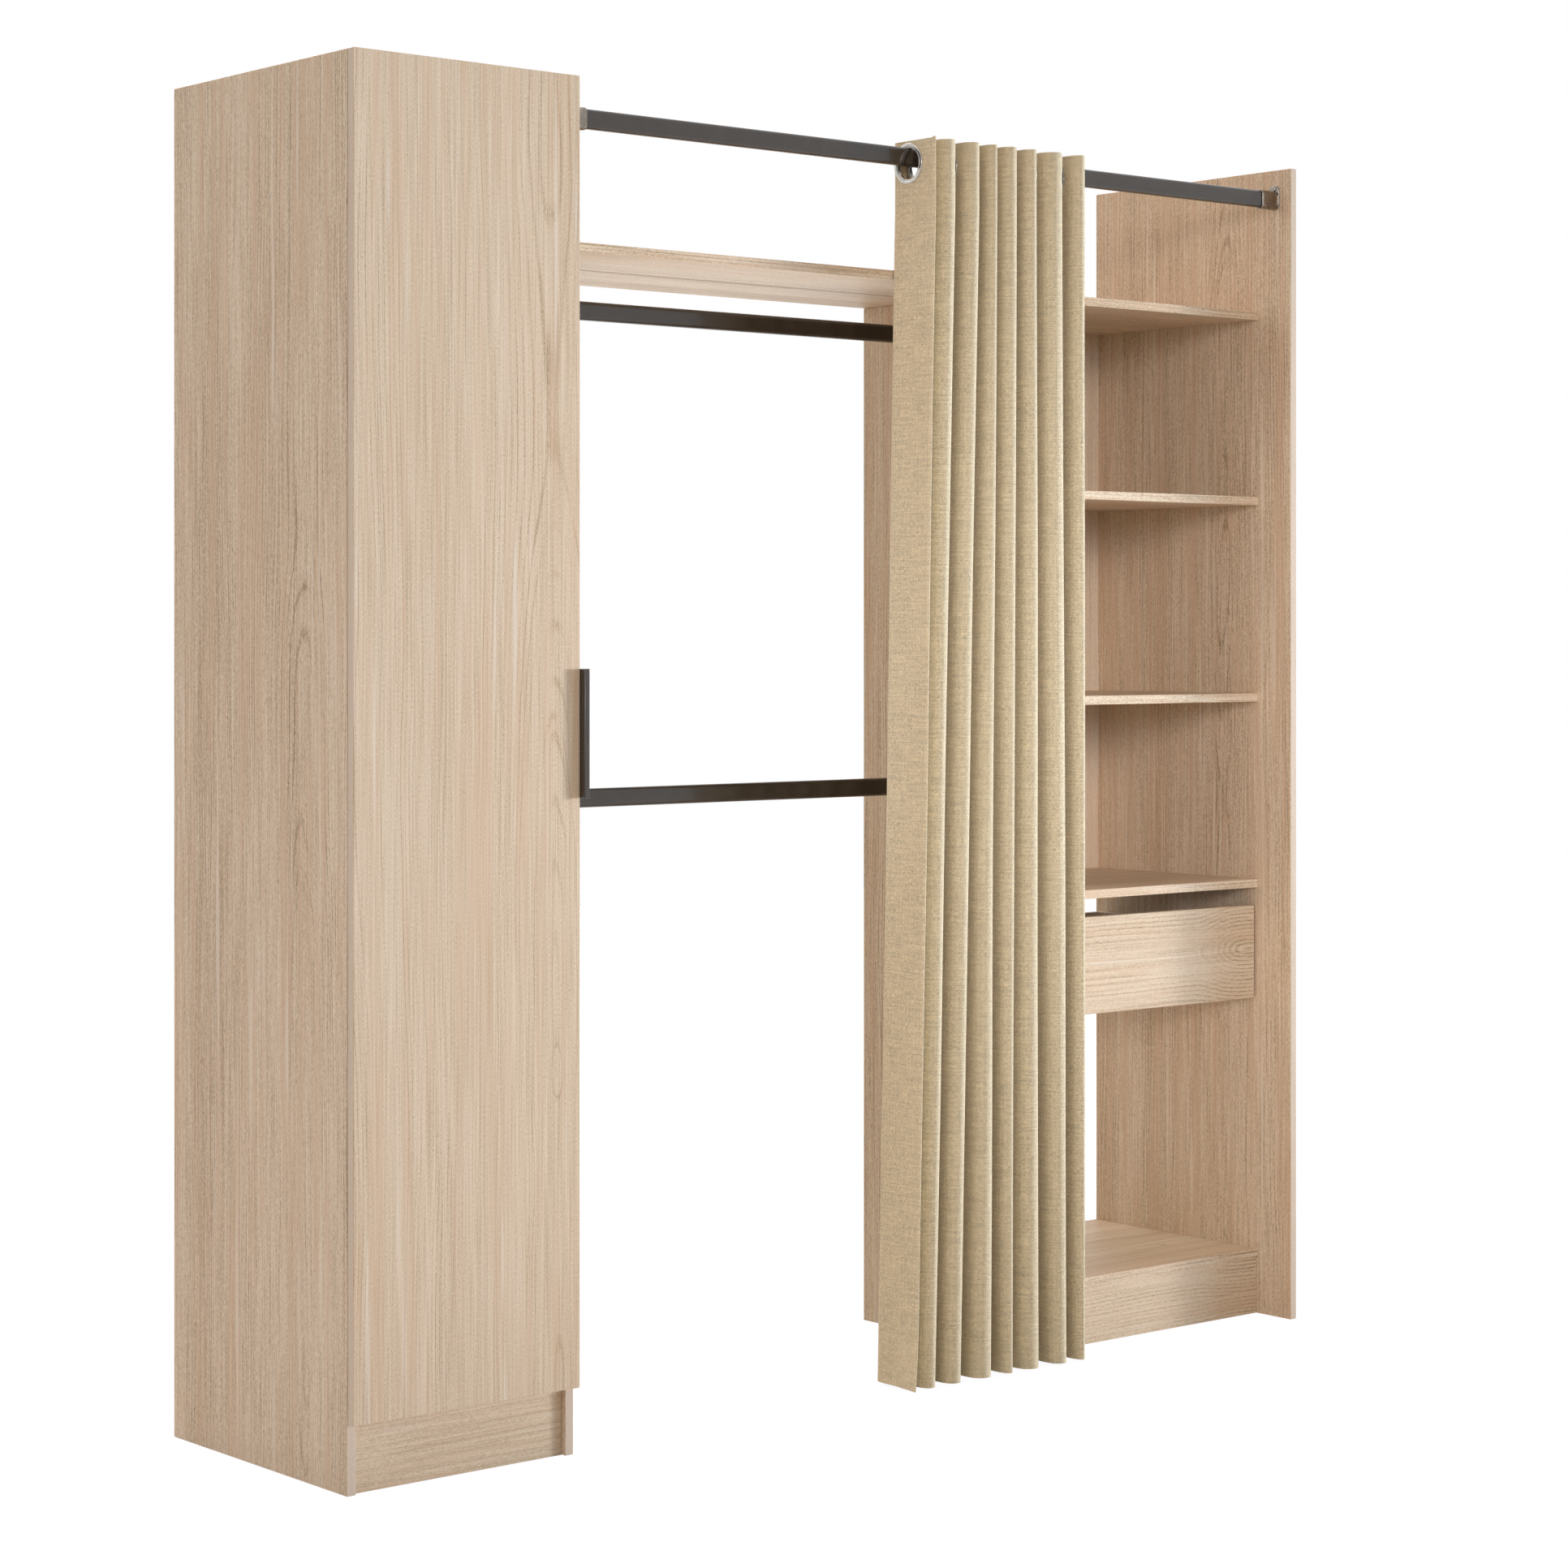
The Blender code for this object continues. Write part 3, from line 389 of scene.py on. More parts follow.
black = metal("black_enamel", srgb(38, 30, 24), srgb(46, 37, 31), 0.0, 0.24, 0.10, 0.00004,
              {"Specular IOR Level": 0.6, "Coat Weight": 0.4, "Coat Roughness": 0.08})
dark_chrome = metal("socket_chrome", srgb(150, 142, 133), srgb(126, 119, 111),
                    1.0, 0.16, 0.08, 0.00001)
chrome = metal("polished_chrome", srgb(200, 198, 193), srgb(186, 183, 176),
               1.0, 0.12, 0.08, 0.000005)
nickel = metal("nickel_plating", srgb(196, 193, 187), srgb(176, 172, 165),
               1.0, 0.26, 0.14, 0.00002)
zinc = metal("zinc_plating", srgb(172, 175, 178), srgb(140, 144, 148),
             1.0, 0.38, 0.25, 0.00003)
print("metals:", [m.material.name for m in (black, dark_chrome, chrome, nickel, zinc)])

# %% [markdown]
# ## Dressing the boards
#
# The boards are right as they come, with their broken edges, grooves and bores, so they stay and
# are only given their finish.


# %% Dress the boards
def dress(finish, *names):
    for name in names:
        for slot in nodes[name].material_slots:
            slot.material = finish.material


dress(oak_upright, "cabinet_left_side", "cabinet_right_side", "column_partition",
      "column_end_panel", "drawer_left_side", "drawer_right_side")
dress(oak_front, "cabinet_door")
dress(oak_shelf, "cabinet_top", "cabinet_bottom", "cabinet_shelf_2",
      "hanging_shelf", "column_top_shelf", "column_upper_shelf", "column_lower_shelf",
      "column_drawer_shelf", "column_base", "drawer_back")
dress(oak_flame, "drawer_front", "cabinet_plinth", "column_plinth")
for shelf_name, finish in loose_shelves.items():
    dress(finish, shelf_name)
dress(nickel, *[f"hinge_{part}_{number}" for part in ("cup", "arm") for number in (1, 2, 3)])
dress(zinc, "left_runner", "right_runner", "drawer_left_slide", "drawer_right_slide")
dress(hardboard, "cabinet_back", "column_back", "drawer_bottom")
print("boards dressed:", sum(name.startswith(("cabinet", "column")) for name in nodes))

# %% [markdown]
# ## Tools for shaping by hand
#
# Each new piece starts as a primitive with nothing else selected, is shaped in edit mode, and ends
# with its place in its mesh and its normals outwards. Faces and edges are picked by a test on where
# they are or which way they look.


# %% Tools
def start(name, primitive, **settings):
    """Adds a primitive and goes into edit mode."""
    bpy.ops.object.select_all(action="DESELECT")
    primitive(**settings)
    piece = bpy.context.object
    piece.name = name
    bpy.ops.object.transform_apply(location=True, rotation=True, scale=True)
    bpy.ops.object.mode_set(mode="EDIT")
    return piece


def start_box(name, size, centre, rotation=(0, 0, 0)):
    return start(name, bpy.ops.mesh.primitive_cube_add, size=1, scale=size, location=centre,
                 rotation=rotation)


def pick(piece, kind, test):
    """Selects the edges or faces that pass the test."""
    bpy.ops.mesh.select_mode(type=kind)
    bpy.ops.mesh.select_all(action="DESELECT")
    shape = bmesh.from_edit_mesh(piece.data)
    parts = {"EDGE": shape.edges, "FACE": shape.faces}[kind]
    for part in parts:
        if test(part):
            part.select_set(True)
    bmesh.update_edit_mesh(piece.data)


def pick_all():
    bpy.ops.mesh.select_all(action="SELECT")


def middle(edge):
    return (edge.verts[0].co + edge.verts[1].co) / 2


def span(edge):
    """How far an edge reaches along X."""
    return abs((edge.verts[0].co - edge.verts[1].co).x)


def box_of(name):
    """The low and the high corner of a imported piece."""
    return [Vector(corner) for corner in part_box(name)]


def bevel(piece, offset, segments, test):
    """Rounds the edges that pass the test."""
    pick(piece, "EDGE", test)
    bpy.ops.mesh.bevel(offset=offset, segments=segments, affect="EDGES")


def choose(first, *others):
    """Selects these pieces and nothing else, the first one active."""
    bpy.ops.object.select_all(action="DESELECT")
    for piece in (first, *others):
        piece.select_set(True)
    bpy.context.view_layer.objects.active = first


def coat(piece, finish, angle):
    """Smooths a piece where it turns by less than so many degrees and gives it its finish."""
    choose(piece)
    bpy.ops.object.shade_smooth_by_angle(angle=math.radians(angle))
    if finish:
        piece.data.materials.clear()
        piece.data.materials.append(finish.material)


def finish_off(piece, finish=None, angle=40):
    """Leaves edit mode with clean normals."""
    pick_all()
    bpy.ops.mesh.remove_doubles(threshold=0.00002)
    bpy.ops.mesh.normals_make_consistent(inside=False)
    bpy.ops.object.mode_set(mode="OBJECT")
    coat(piece, finish, angle)


def apply_modifiers(piece):
    choose(piece)
    for modifier in list(piece.modifiers):
        bpy.ops.object.modifier_apply(modifier=modifier.name)


def cut(piece, cutter):
    """Takes the cutter's shape out of the piece."""
    modifier = piece.modifiers.new("cut", "BOOLEAN")
    modifier.object = cutter
    modifier.solver = "EXACT"
    apply_modifiers(piece)
    bpy.data.objects.remove(cutter)


def join(first, *others):
    choose(first, *others)
    bpy.ops.object.join()


def placed(pattern, name, place):
    """A copy of a finished pattern piece, with its own mesh moved to its place."""
    copy = pattern.copy()
    copy.data = pattern.data.copy()
    copy.name = name
    copy.data.name = name
    copy.data.transform(place)
    bpy.context.scene.collection.objects.link(copy)
    return copy


def install(piece, body, slot, *replaced):
    """Hands a piece to its body and hides the nodes it stands for. The slot is not used."""
    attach(piece, body)
    if replaced:
        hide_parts(*replaced)


print("tools ready")

# %% [markdown]
# ## Screws
#
# The fittings are held by pan-head screws with a cross recess. One is modelled: a short cylinder,
# its top rim bevelled into the round of the pan, and two crossed bars taken out of it. It points up
# +Z and sits on zero. All the others are copies.

# %% One pan-head screw
HEAD_RADIUS, HEAD_HEIGHT, PAN_ROUND = 0.0032, 0.002, 0.0011
RECESS_LENGTH, RECESS_WIDTH, RECESS_DEPTH = 0.0034, 0.0008, 0.0016
head = start("pan_head", bpy.ops.mesh.primitive_cylinder_add, vertices=24, radius=HEAD_RADIUS,
             depth=HEAD_HEIGHT, location=(0, 0, HEAD_HEIGHT / 2))
bevel(head, PAN_ROUND, 4, lambda e: all(v.co.z > HEAD_HEIGHT - HAIR for v in e.verts))
finish_off(head, nickel)
bars = []
for turn in (0, math.pi / 2):
    bar = start_box("recess_bar", (RECESS_LENGTH, RECESS_WIDTH, RECESS_DEPTH),
                    (0, 0, HEAD_HEIGHT), (0, 0, turn))
    pick(bar, "FACE", lambda f: f.normal.z < -0.9)
    bpy.ops.transform.resize(value=(0.6, 0.6, 1))
    finish_off(bar)
    bars.append(bar)
for bar in bars:
    cut(head, bar)
print("screw head:", len(head.data.polygons), "faces")


def screw_on(name, seat, direction, body, slot, finish, size=1.0):
    """A screw head on its seat, driven in along a direction, its cross turned a little."""
    turn = (-Vector(direction)).to_track_quat("Z", "Y").to_matrix().to_4x4()
    turn = turn @ Matrix.Rotation(0.4, 4, "Z") @ Matrix.Scale(size, 4)
    screw = placed(head, name, Matrix.Translation(seat) @ turn)
    screw.data.materials[0] = finish.material
    install(screw, body, slot)


# %% [markdown]
# The hinges and the drawer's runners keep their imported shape. Their screws get proper heads: two
# hold each hinge plate to the cabinet's side, two each cup to the door, and two every half of a
# runner.

# %% Screws of the hinges and runners
PLATE_FACE, PLATE_SCREW_BACK, PLATE_SCREW_RISE = 0.018, 0.0245, 0.016
CUP_SCREW_INSET, CUP_SCREW_RISE = 0.010, 0.0225
RUNNER_SCREW_INSET, RUNNER_SHEET = 0.045, 0.0015
RUNNERS = (  # each half, its body, the board that carries it and the way it looks
    ("left_runner", "closet", "column_partition", 1),
    ("right_runner", "closet", "column_end_panel", -1),
    ("drawer_left_slide", "drawer", "drawer_left_side", -1),
    ("drawer_right_slide", "drawer", "drawer_right_side", 1),
)
for number in (1, 2, 3):
    arm_low, arm_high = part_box(f"hinge_arm_{number}")
    cup_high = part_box(f"hinge_cup_{number}")[1]
    z_hinge = (arm_low[2] + arm_high[2]) / 2
    for word, side in (("low", -1), ("high", 1)):
        seat = (cad_box[0][0] + PLATE_FACE, arm_high[1] - PLATE_SCREW_BACK,
                z_hinge + side * PLATE_SCREW_RISE)
        screw_on(f"hinge_plate_screw_{number}_{word}", seat, (-1, 0, 0), "closet", "steel", nickel)
        seat = (cup_high[0] - CUP_SCREW_INSET, cup_high[1], z_hinge + side * CUP_SCREW_RISE)
        screw_on(f"hinge_cup_screw_{number}_{word}", seat, (0, -1, 0), "door", "steel", nickel)
for name, body, carrier, inwards in RUNNERS:
    low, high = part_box(name)
    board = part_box(carrier)
    face = board[1][0] if inwards > 0 else board[0][0]
    for word, y in (("front", low[1] + RUNNER_SCREW_INSET), ("rear", high[1] - RUNNER_SCREW_INSET)):
        seat = (face + inwards * RUNNER_SHEET, y, (low[2] + high[2]) / 2)
        screw_on(f"{name}_{word}_screw", seat, (-inwards, 0, 0), body, "zinc", zinc)

# %% [markdown]
# ## Rails
#
# Each rail is a steel tube, 30 by 15 mm with round corners, enamelled black. It could be a curve
# with a bevel profile, but a box whose four long edges are bevelled and whose ends are inset and
# pushed in is quicker to read and gives an open tube with even faces.


# %% Rails
RAILS = ("upper_hanging_rail", "lower_hanging_rail", "curtain_rail")
RAIL_HEIGHT, RAIL_CORNER, RAIL_WALL = 0.030, 0.006, 0.001
BORE_TAPER, BORE_DEPTH = 0.0003, 0.05


def make_rail(name):
    low, high = box_of(name)
    size = high - low
    rail = start_box(f"{name}_tube", size, (low + high) / 2)
    bevel(rail, RAIL_CORNER, 8, lambda e: span(e) > size.x / 2)
    pick(rail, "FACE", lambda f: abs(f.normal.x) > 0.9)
    bpy.ops.mesh.inset(thickness=RAIL_WALL, depth=0)
    bpy.ops.mesh.inset(thickness=BORE_TAPER, depth=-BORE_DEPTH)
    finish_off(rail, black)
    install(rail, "closet", "black_metal", name)
    return rail


for rail_name in RAILS:
    rail = make_rail(rail_name)
    print(rail.name, "long", round(rail.dimensions.x, 4))

# %% [markdown]
# ## Rail sockets
#
# A socket is a polished die casting: a rounded plate with an ear for its screw, and a sleeve that
# the rail's end sits in, with a bead round its mouth. The pattern points along +X round the rail's
# centre. The plate is a box with its four short edges bevelled. The sleeve is a second box that
# gets the tube's corners, is fattened at its mouth for the bead, and is emptied by an inset pushed
# down its length.

# %% One socket
FIT = 0.0003
PLATE_THICKNESS, PLATE_WIDTH, PLATE_CORNER, PLATE_ROUND = 0.0015, 0.0225, 0.0085, 0.0006
PLATE_LOW, PLATE_HIGH = -0.0165, 0.027
SLEEVE_START, SLEEVE_END, SLEEVE_FLOOR = 0.001, 0.0422, 0.0405
SLEEVE_DEPTH, SLEEVE_HEIGHT, SLEEVE_CORNER, SLEEVE_WALL = 0.018, 0.033, 0.0075, 0.0012
BEAD, BEAD_RISE, BEAD_ROUND = 0.0055, 0.0006, 0.0005
plate = start_box("socket_plate", (PLATE_THICKNESS, PLATE_WIDTH, PLATE_HIGH - PLATE_LOW),
                  (PLATE_THICKNESS / 2, 0, (PLATE_LOW + PLATE_HIGH) / 2))
bevel(plate, PLATE_CORNER, 8, lambda e: span(e) > PLATE_THICKNESS / 2)
bevel(plate, PLATE_ROUND, 3, lambda e: all(v.co.x > PLATE_THICKNESS - HAIR for v in e.verts))
finish_off(plate, dark_chrome)

sleeve_length = SLEEVE_END - SLEEVE_START
sleeve = start_box("socket_sleeve", (sleeve_length, SLEEVE_DEPTH, SLEEVE_HEIGHT),
                   ((SLEEVE_END + SLEEVE_START) / 2, 0, 0))
bevel(sleeve, SLEEVE_CORNER, 8, lambda e: span(e) > sleeve_length / 2)
pick_all()
bead_start = SLEEVE_END - BEAD
bpy.ops.mesh.bisect(plane_co=(bead_start, 0, 0), plane_no=(1, 0, 0))
pick(sleeve, "FACE", lambda f: abs(f.normal.x) < 0.5 and f.calc_center_median().x > bead_start)
bpy.ops.mesh.extrude_region_shrink_fatten(TRANSFORM_OT_shrink_fatten={"value": BEAD_RISE})


def on_bead(point):
    """Whether a point lies outside the sleeve's own outline, on the bead."""
    across, up = abs(point.y) - SLEEVE_DEPTH / 2, abs(point.z) - SLEEVE_HEIGHT / 2
    from_corner = math.hypot(across + SLEEVE_CORNER, up + SLEEVE_CORNER)
    outside = max(across, up) > HAIR or from_corner > SLEEVE_CORNER + BEAD_RISE / 2
    return point.x > bead_start - HAIR and outside


bevel(sleeve, BEAD_ROUND, 3, lambda e: e.calc_face_angle(0) > 1 and on_bead(middle(e)))
mouth_area = SLEEVE_DEPTH * SLEEVE_HEIGHT / 3
pick(sleeve, "FACE", lambda f: f.normal.x > 0.9 and f.calc_area() > mouth_area
     and f.calc_center_median().yz.length < SLEEVE_WALL / 2)
bpy.ops.mesh.inset(thickness=SLEEVE_WALL, depth=0)
bpy.ops.mesh.inset(thickness=0.00001, depth=-SLEEVE_FLOOR)
finish_off(sleeve, dark_chrome)
print("socket patterns:", len(plate.data.polygons), len(sleeve.data.polygons), "faces,",
      [round(d * 1000, 1) for d in sleeve.dimensions], "mm")

# %% [markdown]
# One screw sits in the ear over the sleeve. The other is inside the sleeve, behind the rail's end,
# and is driven before the rail goes in.

# %% All the sockets
EAR_SCREW_RISE, EAR_SCREW_SIZE = 0.0208, 1.25
for rail_name in RAILS:
    low, high = box_of(rail_name)
    centre = (low + high) / 2
    for end, rail_end, direction in (("left", low.x, 1), ("right", high.x, -1)):
        x = rail_end - direction * (PLATE_THICKNESS + FIT)
        facing = Matrix.Identity(4) if direction == 1 else Matrix.Rotation(math.pi, 4, "Z")
        place = Matrix.Translation((x, centre.y, centre.z)) @ facing
        node = f"{rail_name}_{end}_socket"
        install(placed(plate, f"{node}_plate", place), "closet", "dark_chrome", node)
        install(placed(sleeve, f"{node}_sleeve", place), "closet", "dark_chrome")
        seat = (x + direction * PLATE_THICKNESS, centre.y, centre.z + EAR_SCREW_RISE)
        screw_on(f"{node}_screw", seat, (-direction, 0, 0), "closet", "dark_chrome", dark_chrome,
                 EAR_SCREW_SIZE)
for pattern in (plate, sleeve):
    bpy.data.objects.remove(pattern)
print("sockets placed")

# %% [markdown]
# ## The door's handle
#
# The handle is a strip of black angle on the door's edge: one leg lies on the edge, and a short lip
# is turned outwards in front of the door for the fingers. It is drawn from a thin box for the leg,
# whose front end is extruded sideways into the lip. Bending rounds a sheet, so the outer fold gets
# a bevel of nearly the sheet's own thickness, and the free edges a small one.

# %% Handle
CABINET_WIDTH = 0.394
WALL, LIP = 0.002, 0.0085
FOLD_ROUND, EDGE_ROUND = 0.0016, 0.0004
HANDLE_SCREW_Y, HANDLE_SCREW_Z, HANDLE_SCREW_STEP = -0.2325, 1.063, 0.064
low, high = box_of("door_handle")
x_leg = cad_box[0][0] + CABINET_WIDTH + FIT
leg = (x_leg, x_leg + WALL)
handle = start_box("door_handle_angle", (WALL, high.y - low.y, high.z - low.z),
                   (sum(leg) / 2, (low.y + high.y) / 2, (low.z + high.z) / 2))
pick_all()
bpy.ops.mesh.bisect(plane_co=(0, low.y + WALL, 0), plane_no=(0, 1, 0))
pick(handle, "FACE", lambda f: f.normal.x > 0.9 and f.calc_center_median().y < low.y + WALL)
bpy.ops.mesh.extrude_region_move(TRANSFORM_OT_translate={"value": (LIP - WALL, 0, 0)})
fold_line = Vector((leg[0], low.y))
bevel(handle, FOLD_ROUND, 5,
      lambda e: all((v.co.xy - fold_line).length < HAIR for v in e.verts))
bevel(handle, EDGE_ROUND, 2, lambda e: abs(middle(e).x - (leg[0] + LIP)) < HAIR or
      any(abs(middle(e).z - z) < HAIR for z in (low.z, high.z)))
finish_off(handle, black)
install(handle, "door", "black_metal", "door_handle")
for word, side in (("low", -1), ("high", 1)):
    seat = (leg[1], HANDLE_SCREW_Y, HANDLE_SCREW_Z + side * HANDLE_SCREW_STEP)
    screw_on(f"door_handle_screw_{word}", seat, (-1, 0, 0), "door", "black_metal", black)
print("handle from", round(low.z, 4), "to", round(high.z, 4))

# %% [markdown]
# ## Linen
#
# The curtain is a beige linen twill. Its threads run in a herringbone: slanting ribs that turn back
# every few millimetres, with thicker and thinner threads in between. The pattern has to follow the
# cloth round its folds, so it reads the cloth's own UV map, which holds metres of cloth. The zigzag
# is one Ping-Pong node: the distance across the cloth, folded back and forth, shifts the ribs up
# and down.


# %% Linen
ZIGZAG, RIB = 0.0075, 0.0036  # metres of cloth between two turns of the herringbone, and two ribs


def linen(name, light, ribbed=1.0):
    """Herringbone twill of a colour, its ribs as strong as ribbed says."""
    cloth = Finish(name, {"Roughness": 0.9, "Specular IOR Level": 0.2, "Sheen Weight": 0.25,
                          "Sheen Roughness": 0.5})
    across = cloth.coordinates("UV")
    u, v = cloth.part(across, "X"), cloth.part(across, "Y")
    zigzag = cloth.maths("PINGPONG", u, ZIGZAG)
    ribs = cloth.maths("SINE", (v + zigzag * 1.1) * (2 * math.pi / RIB)) * 0.5 + 0.5
    turns = cloth.smooth(abs(zigzag - ZIGZAG / 2), ZIGZAG * 0.44, ZIGZAG / 2)
    warp = cloth.noise(cloth.scaled(across, (1300, 160, 1)), 2.0, 0.6)
    weft = cloth.noise(cloth.scaled(across, (150, 1300, 1)), 2.0, 0.6)
    slubs = cloth.smooth(cloth.noise(cloth.scaled(across, (45, 700, 1)), 2.0, 0.5), 0.58, 0.8)
    level = cloth.noise(cloth.scaled(across, (22, 330, 1)), 2.0, 0.6)
    upright = cloth.noise(cloth.scaled(across, (330, 22, 1)), 2.0, 0.6)
    mottle = level * 0.6 + upright * 0.4
    shade = (ribs * (1 - turns * 0.6) - 0.5) * 0.5 * ribbed
    shade = shade + (warp - 0.5) * 1.3 + (weft - 0.5) * 1.3
    shade = 0.5 + shade + (mottle - 0.5) * 1.1 - slubs * 0.16
    dark, pale = ((*(channel * share for channel in light[:3]), 1) for share in (0.5, 1.35))
    cloth.surface("Base Color", cloth.ramp(shade, [(0.1, dark), (0.5, light), (0.9, pale)]))
    cloth.surface("Roughness", 0.86 + (mottle - 0.5) * 0.1)
    cloth.bump(ribs * 0.6 * ribbed + (warp + weft) * 0.5, 0.0004, 0.5)
    return cloth


curtain_linen = linen("curtain_linen", srgb(215, 200, 170))
# The hem's linen is the curtain's made a little lighter, a painted highlight for the light on its
# rounded front.
hem_linen_painted_light = linen("hem_linen_painted_light", srgb(219, 204, 174), ribbed=0.3)
print("cloth finishes ready")

# %% [markdown]
# ## The curtain's plan
#
# Seen from above, the cloth runs back and forth through its fourteen eyelets. Where it passes an
# eyelet it is flat, because the ring holds it, and between two rings it turns in a soft bend, deep
# in front and shallow behind. The curtain is pushed together at its right, so the folds stand
# close, and no two are quite as wide. The foot has a plan of its own: there the folds have spread a
# little.

# %% Plan
rail_low, rail_high = box_of("curtain_rail")
rail_y, rail_z = (rail_low.y + rail_high.y) / 2, (rail_low.z + rail_high.z) / 2
partition_x, shelf_front_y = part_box("column_partition")[0][:2]
RING, RING_BORE = 0.033, 0.0255
FOLD_REACH = 0.062  # from the eyelets' middle to the front of a fold
FLAP_OFFSET = 0.0105
RING_GAP, SHELF_GAP = 0.001, 0.0025
BEND_POINTS, PANEL_POINTS = 16, 6
FRONT_SHARE, REAR_SHARE, BULGE_SHARE = 0.29, 0.21, 0.16  # of a fold's width
TOP_LEAD, FOOT_LEAD = 0.2828, 0.3219  # from the partition to the leading edge
TOP_FOLDS = (0.0557, 0.0513, 0.0338, 0.0493, 0.0428, 0.0668, 0.0453)
FOOT_FOLDS = (0.0507, 0.0578, 0.0718, 0.0363, 0.0711, 0.0605, 0.0326)


def line(first, last):
    """Even points from the first towards the last, without the last."""
    shares = [step / PANEL_POINTS for step in range(PANEL_POINTS)]
    return [tuple(a + (b - a) * share for a, b in zip(first, last)) for share in shares]


def turn_back(first, last, y, depth, bulge):
    """A soft bend between two panel ends."""
    centre, half = (first + last) / 2, (last - first) / 2
    points = []
    for step in range(BEND_POINTS):
        angle = math.pi * step / BEND_POINTS
        x = centre - half * math.cos(angle) * (1 + bulge * math.sin(angle))
        points.append((x, y + depth * math.sin(angle)))
    return points


def plan(lead, folds):
    """The cloth from its leading edge to its last, and the ends of its flat panels."""
    front, rear = rail_y - RING, rail_y + RING
    nose = RING + RING_GAP - FOLD_REACH
    heel = shelf_front_y - SHELF_GAP - rear
    x_edge = partition_x - lead
    x_rear = x_edge - FLAP_OFFSET
    points = line((x_rear, front + nose), (x_rear, front)) + line((x_rear, front), (x_rear, rear))
    panels = [((x_rear, front), (x_rear, rear))]
    for number, width in enumerate(folds, start=1):
        centre = x_edge + width / 2
        left, right = centre - FRONT_SHARE * width, centre + FRONT_SHARE * width
        left_rear, right_rear = centre - REAR_SHARE * width, centre + REAR_SHARE * width
        points += turn_back(x_rear, left_rear, rear, heel, 0)
        points += line((left_rear, rear), (left, front))
        points += turn_back(left, right, front, nose, BULGE_SHARE)
        panels.append(((left, front), (left_rear, rear)))
        if number == len(folds):
            break
        points += line((right, front), (right_rear, rear))
        panels.append(((right, front), (right_rear, rear)))
        x_rear = right_rear
        x_edge += width
    return [*points, (right, front)], panels


def relaxed(points, rounds):
    """The same line with its corners eased, as cloth takes them."""
    for _ in range(rounds):
        eased = [tuple((a + 2 * b + c) / 4 for a, b, c in zip(*three))
                 for three in zip(points, points[1:], points[2:])]
        points = [points[0], *eased, points[-1]]
    return points


def measure(points):
    """How far along the cloth each point lies."""
    run = [0.0]
    for first, last in zip(points, points[1:]):
        run.append(run[-1] + math.dist(first, last))
    return run


top_plan, panels = plan(TOP_LEAD, TOP_FOLDS)
foot_plan, _ = plan(FOOT_LEAD, FOOT_FOLDS)
top_plan, foot_plan = relaxed(top_plan, 3), relaxed(foot_plan, 8)
cloth_run = [(a + b) / 2 for a, b in zip(measure(top_plan), measure(foot_plan))]
print("cloth width:", round(cloth_run[-1], 3), "m;", len(panels), "panels")

# %% [markdown]
# ## Hanging the cloth
#
# The sheet is a grid: every row is the plan at its height, between the foot's and the top's, with a
# slow sway of a millimetre or two, because no fold hangs dead straight. The band round the eyelets
# is stiffened and keeps the top plan. A simulation could drape it too, but these folds are held at
# the top and pulled straight by the cloth's weight, so drawing them keeps them where the photograph
# has them. The cloth then gets its thickness, and its eyelet holes are cut.

# %% Cloth
PACKED_SIDES = 18  # of a packed eyelet's bore, which hangs on the rail by the middle of a side
EYELET_Z = rail_z + RAIL_HEIGHT / 2 + FIT - RING_BORE * math.cos(math.pi / PACKED_SIDES)
HEM_Z, FOOT_Z, BAND = EYELET_Z + 0.0365, 0.0055, 0.110
ROWS = 56
CLOTH_THICKNESS = 0.0018
SWAY, RIPPLE = 0.0013, 0.0005
FLARE_WIDTH, FLARE_HEIGHT = 0.05, 0.14  # of the corner at the leading edge's foot
FLARE_SIDE, FLARE_FRONT = 0.007, 0.003  # how far it stands out
PUNCH_RADIUS, PUNCH_DEPTH = 0.0276, 0.009


def cloth_point(column, height):
    """Where a point of the cloth hangs."""
    share = min(1.0, (height - FOOT_Z) / (HEM_Z - BAND - FOOT_Z))
    x, y = (f + (t - f) * share for f, t in zip(foot_plan[column], top_plan[column]))
    run = cloth_run[column]
    free = math.sin(math.pi * share)
    x += free * SWAY * math.sin(4 * run + 2.3 * height)
    x += free * RIPPLE * math.sin(13 * run - 5 * height)
    edge = max(0.0, 1 - run / FLARE_WIDTH) * max(0.0, 1 - height / FLARE_HEIGHT) ** 2
    return Vector((x - FLARE_SIDE * edge, y - FLARE_FRONT * edge, height))


def woven(name, places, runs, heights):
    """A net through rows of places, with metres of cloth on its UV map.

    A net with one more run than places in a row goes round, and gets a face at each end.
    """
    built = bmesh.new()
    rows = [[built.verts.new(place) for place in row] for row in places]
    uv = built.loops.layers.uv.new("cloth")
    count = len(rows[0])
    for row in range(len(rows) - 1):
        for column in range(len(runs) - 1):
            corners = ((row, column), (row, column + 1), (row + 1, column + 1), (row + 1, column))
            face = built.faces.new([rows[r][c % count] for r, c in corners])
            for loop, (r, c) in zip(face.loops, corners):
                loop[uv].uv = (runs[c], heights[r])
    if len(runs) > count:
        built.faces.new(rows[0][::-1])
        built.faces.new(rows[-1])
        bmesh.ops.recalc_face_normals(built, faces=built.faces)
    mesh = bpy.data.meshes.new(name)
    built.to_mesh(mesh)
    built.free()
    return new_object(name, mesh)


heights = [FOOT_Z + (HEM_Z - FOOT_Z) * row / ROWS for row in range(ROWS + 1)]
places = [[cloth_point(column, height) for column in range(len(cloth_run))] for height in heights]
curtain = woven("curtain_cloth", places, cloth_run, heights)
thickness = curtain.modifiers.new("thickness", "SOLIDIFY")
thickness.thickness = CLOTH_THICKNESS
thickness.offset = 0
apply_modifiers(curtain)


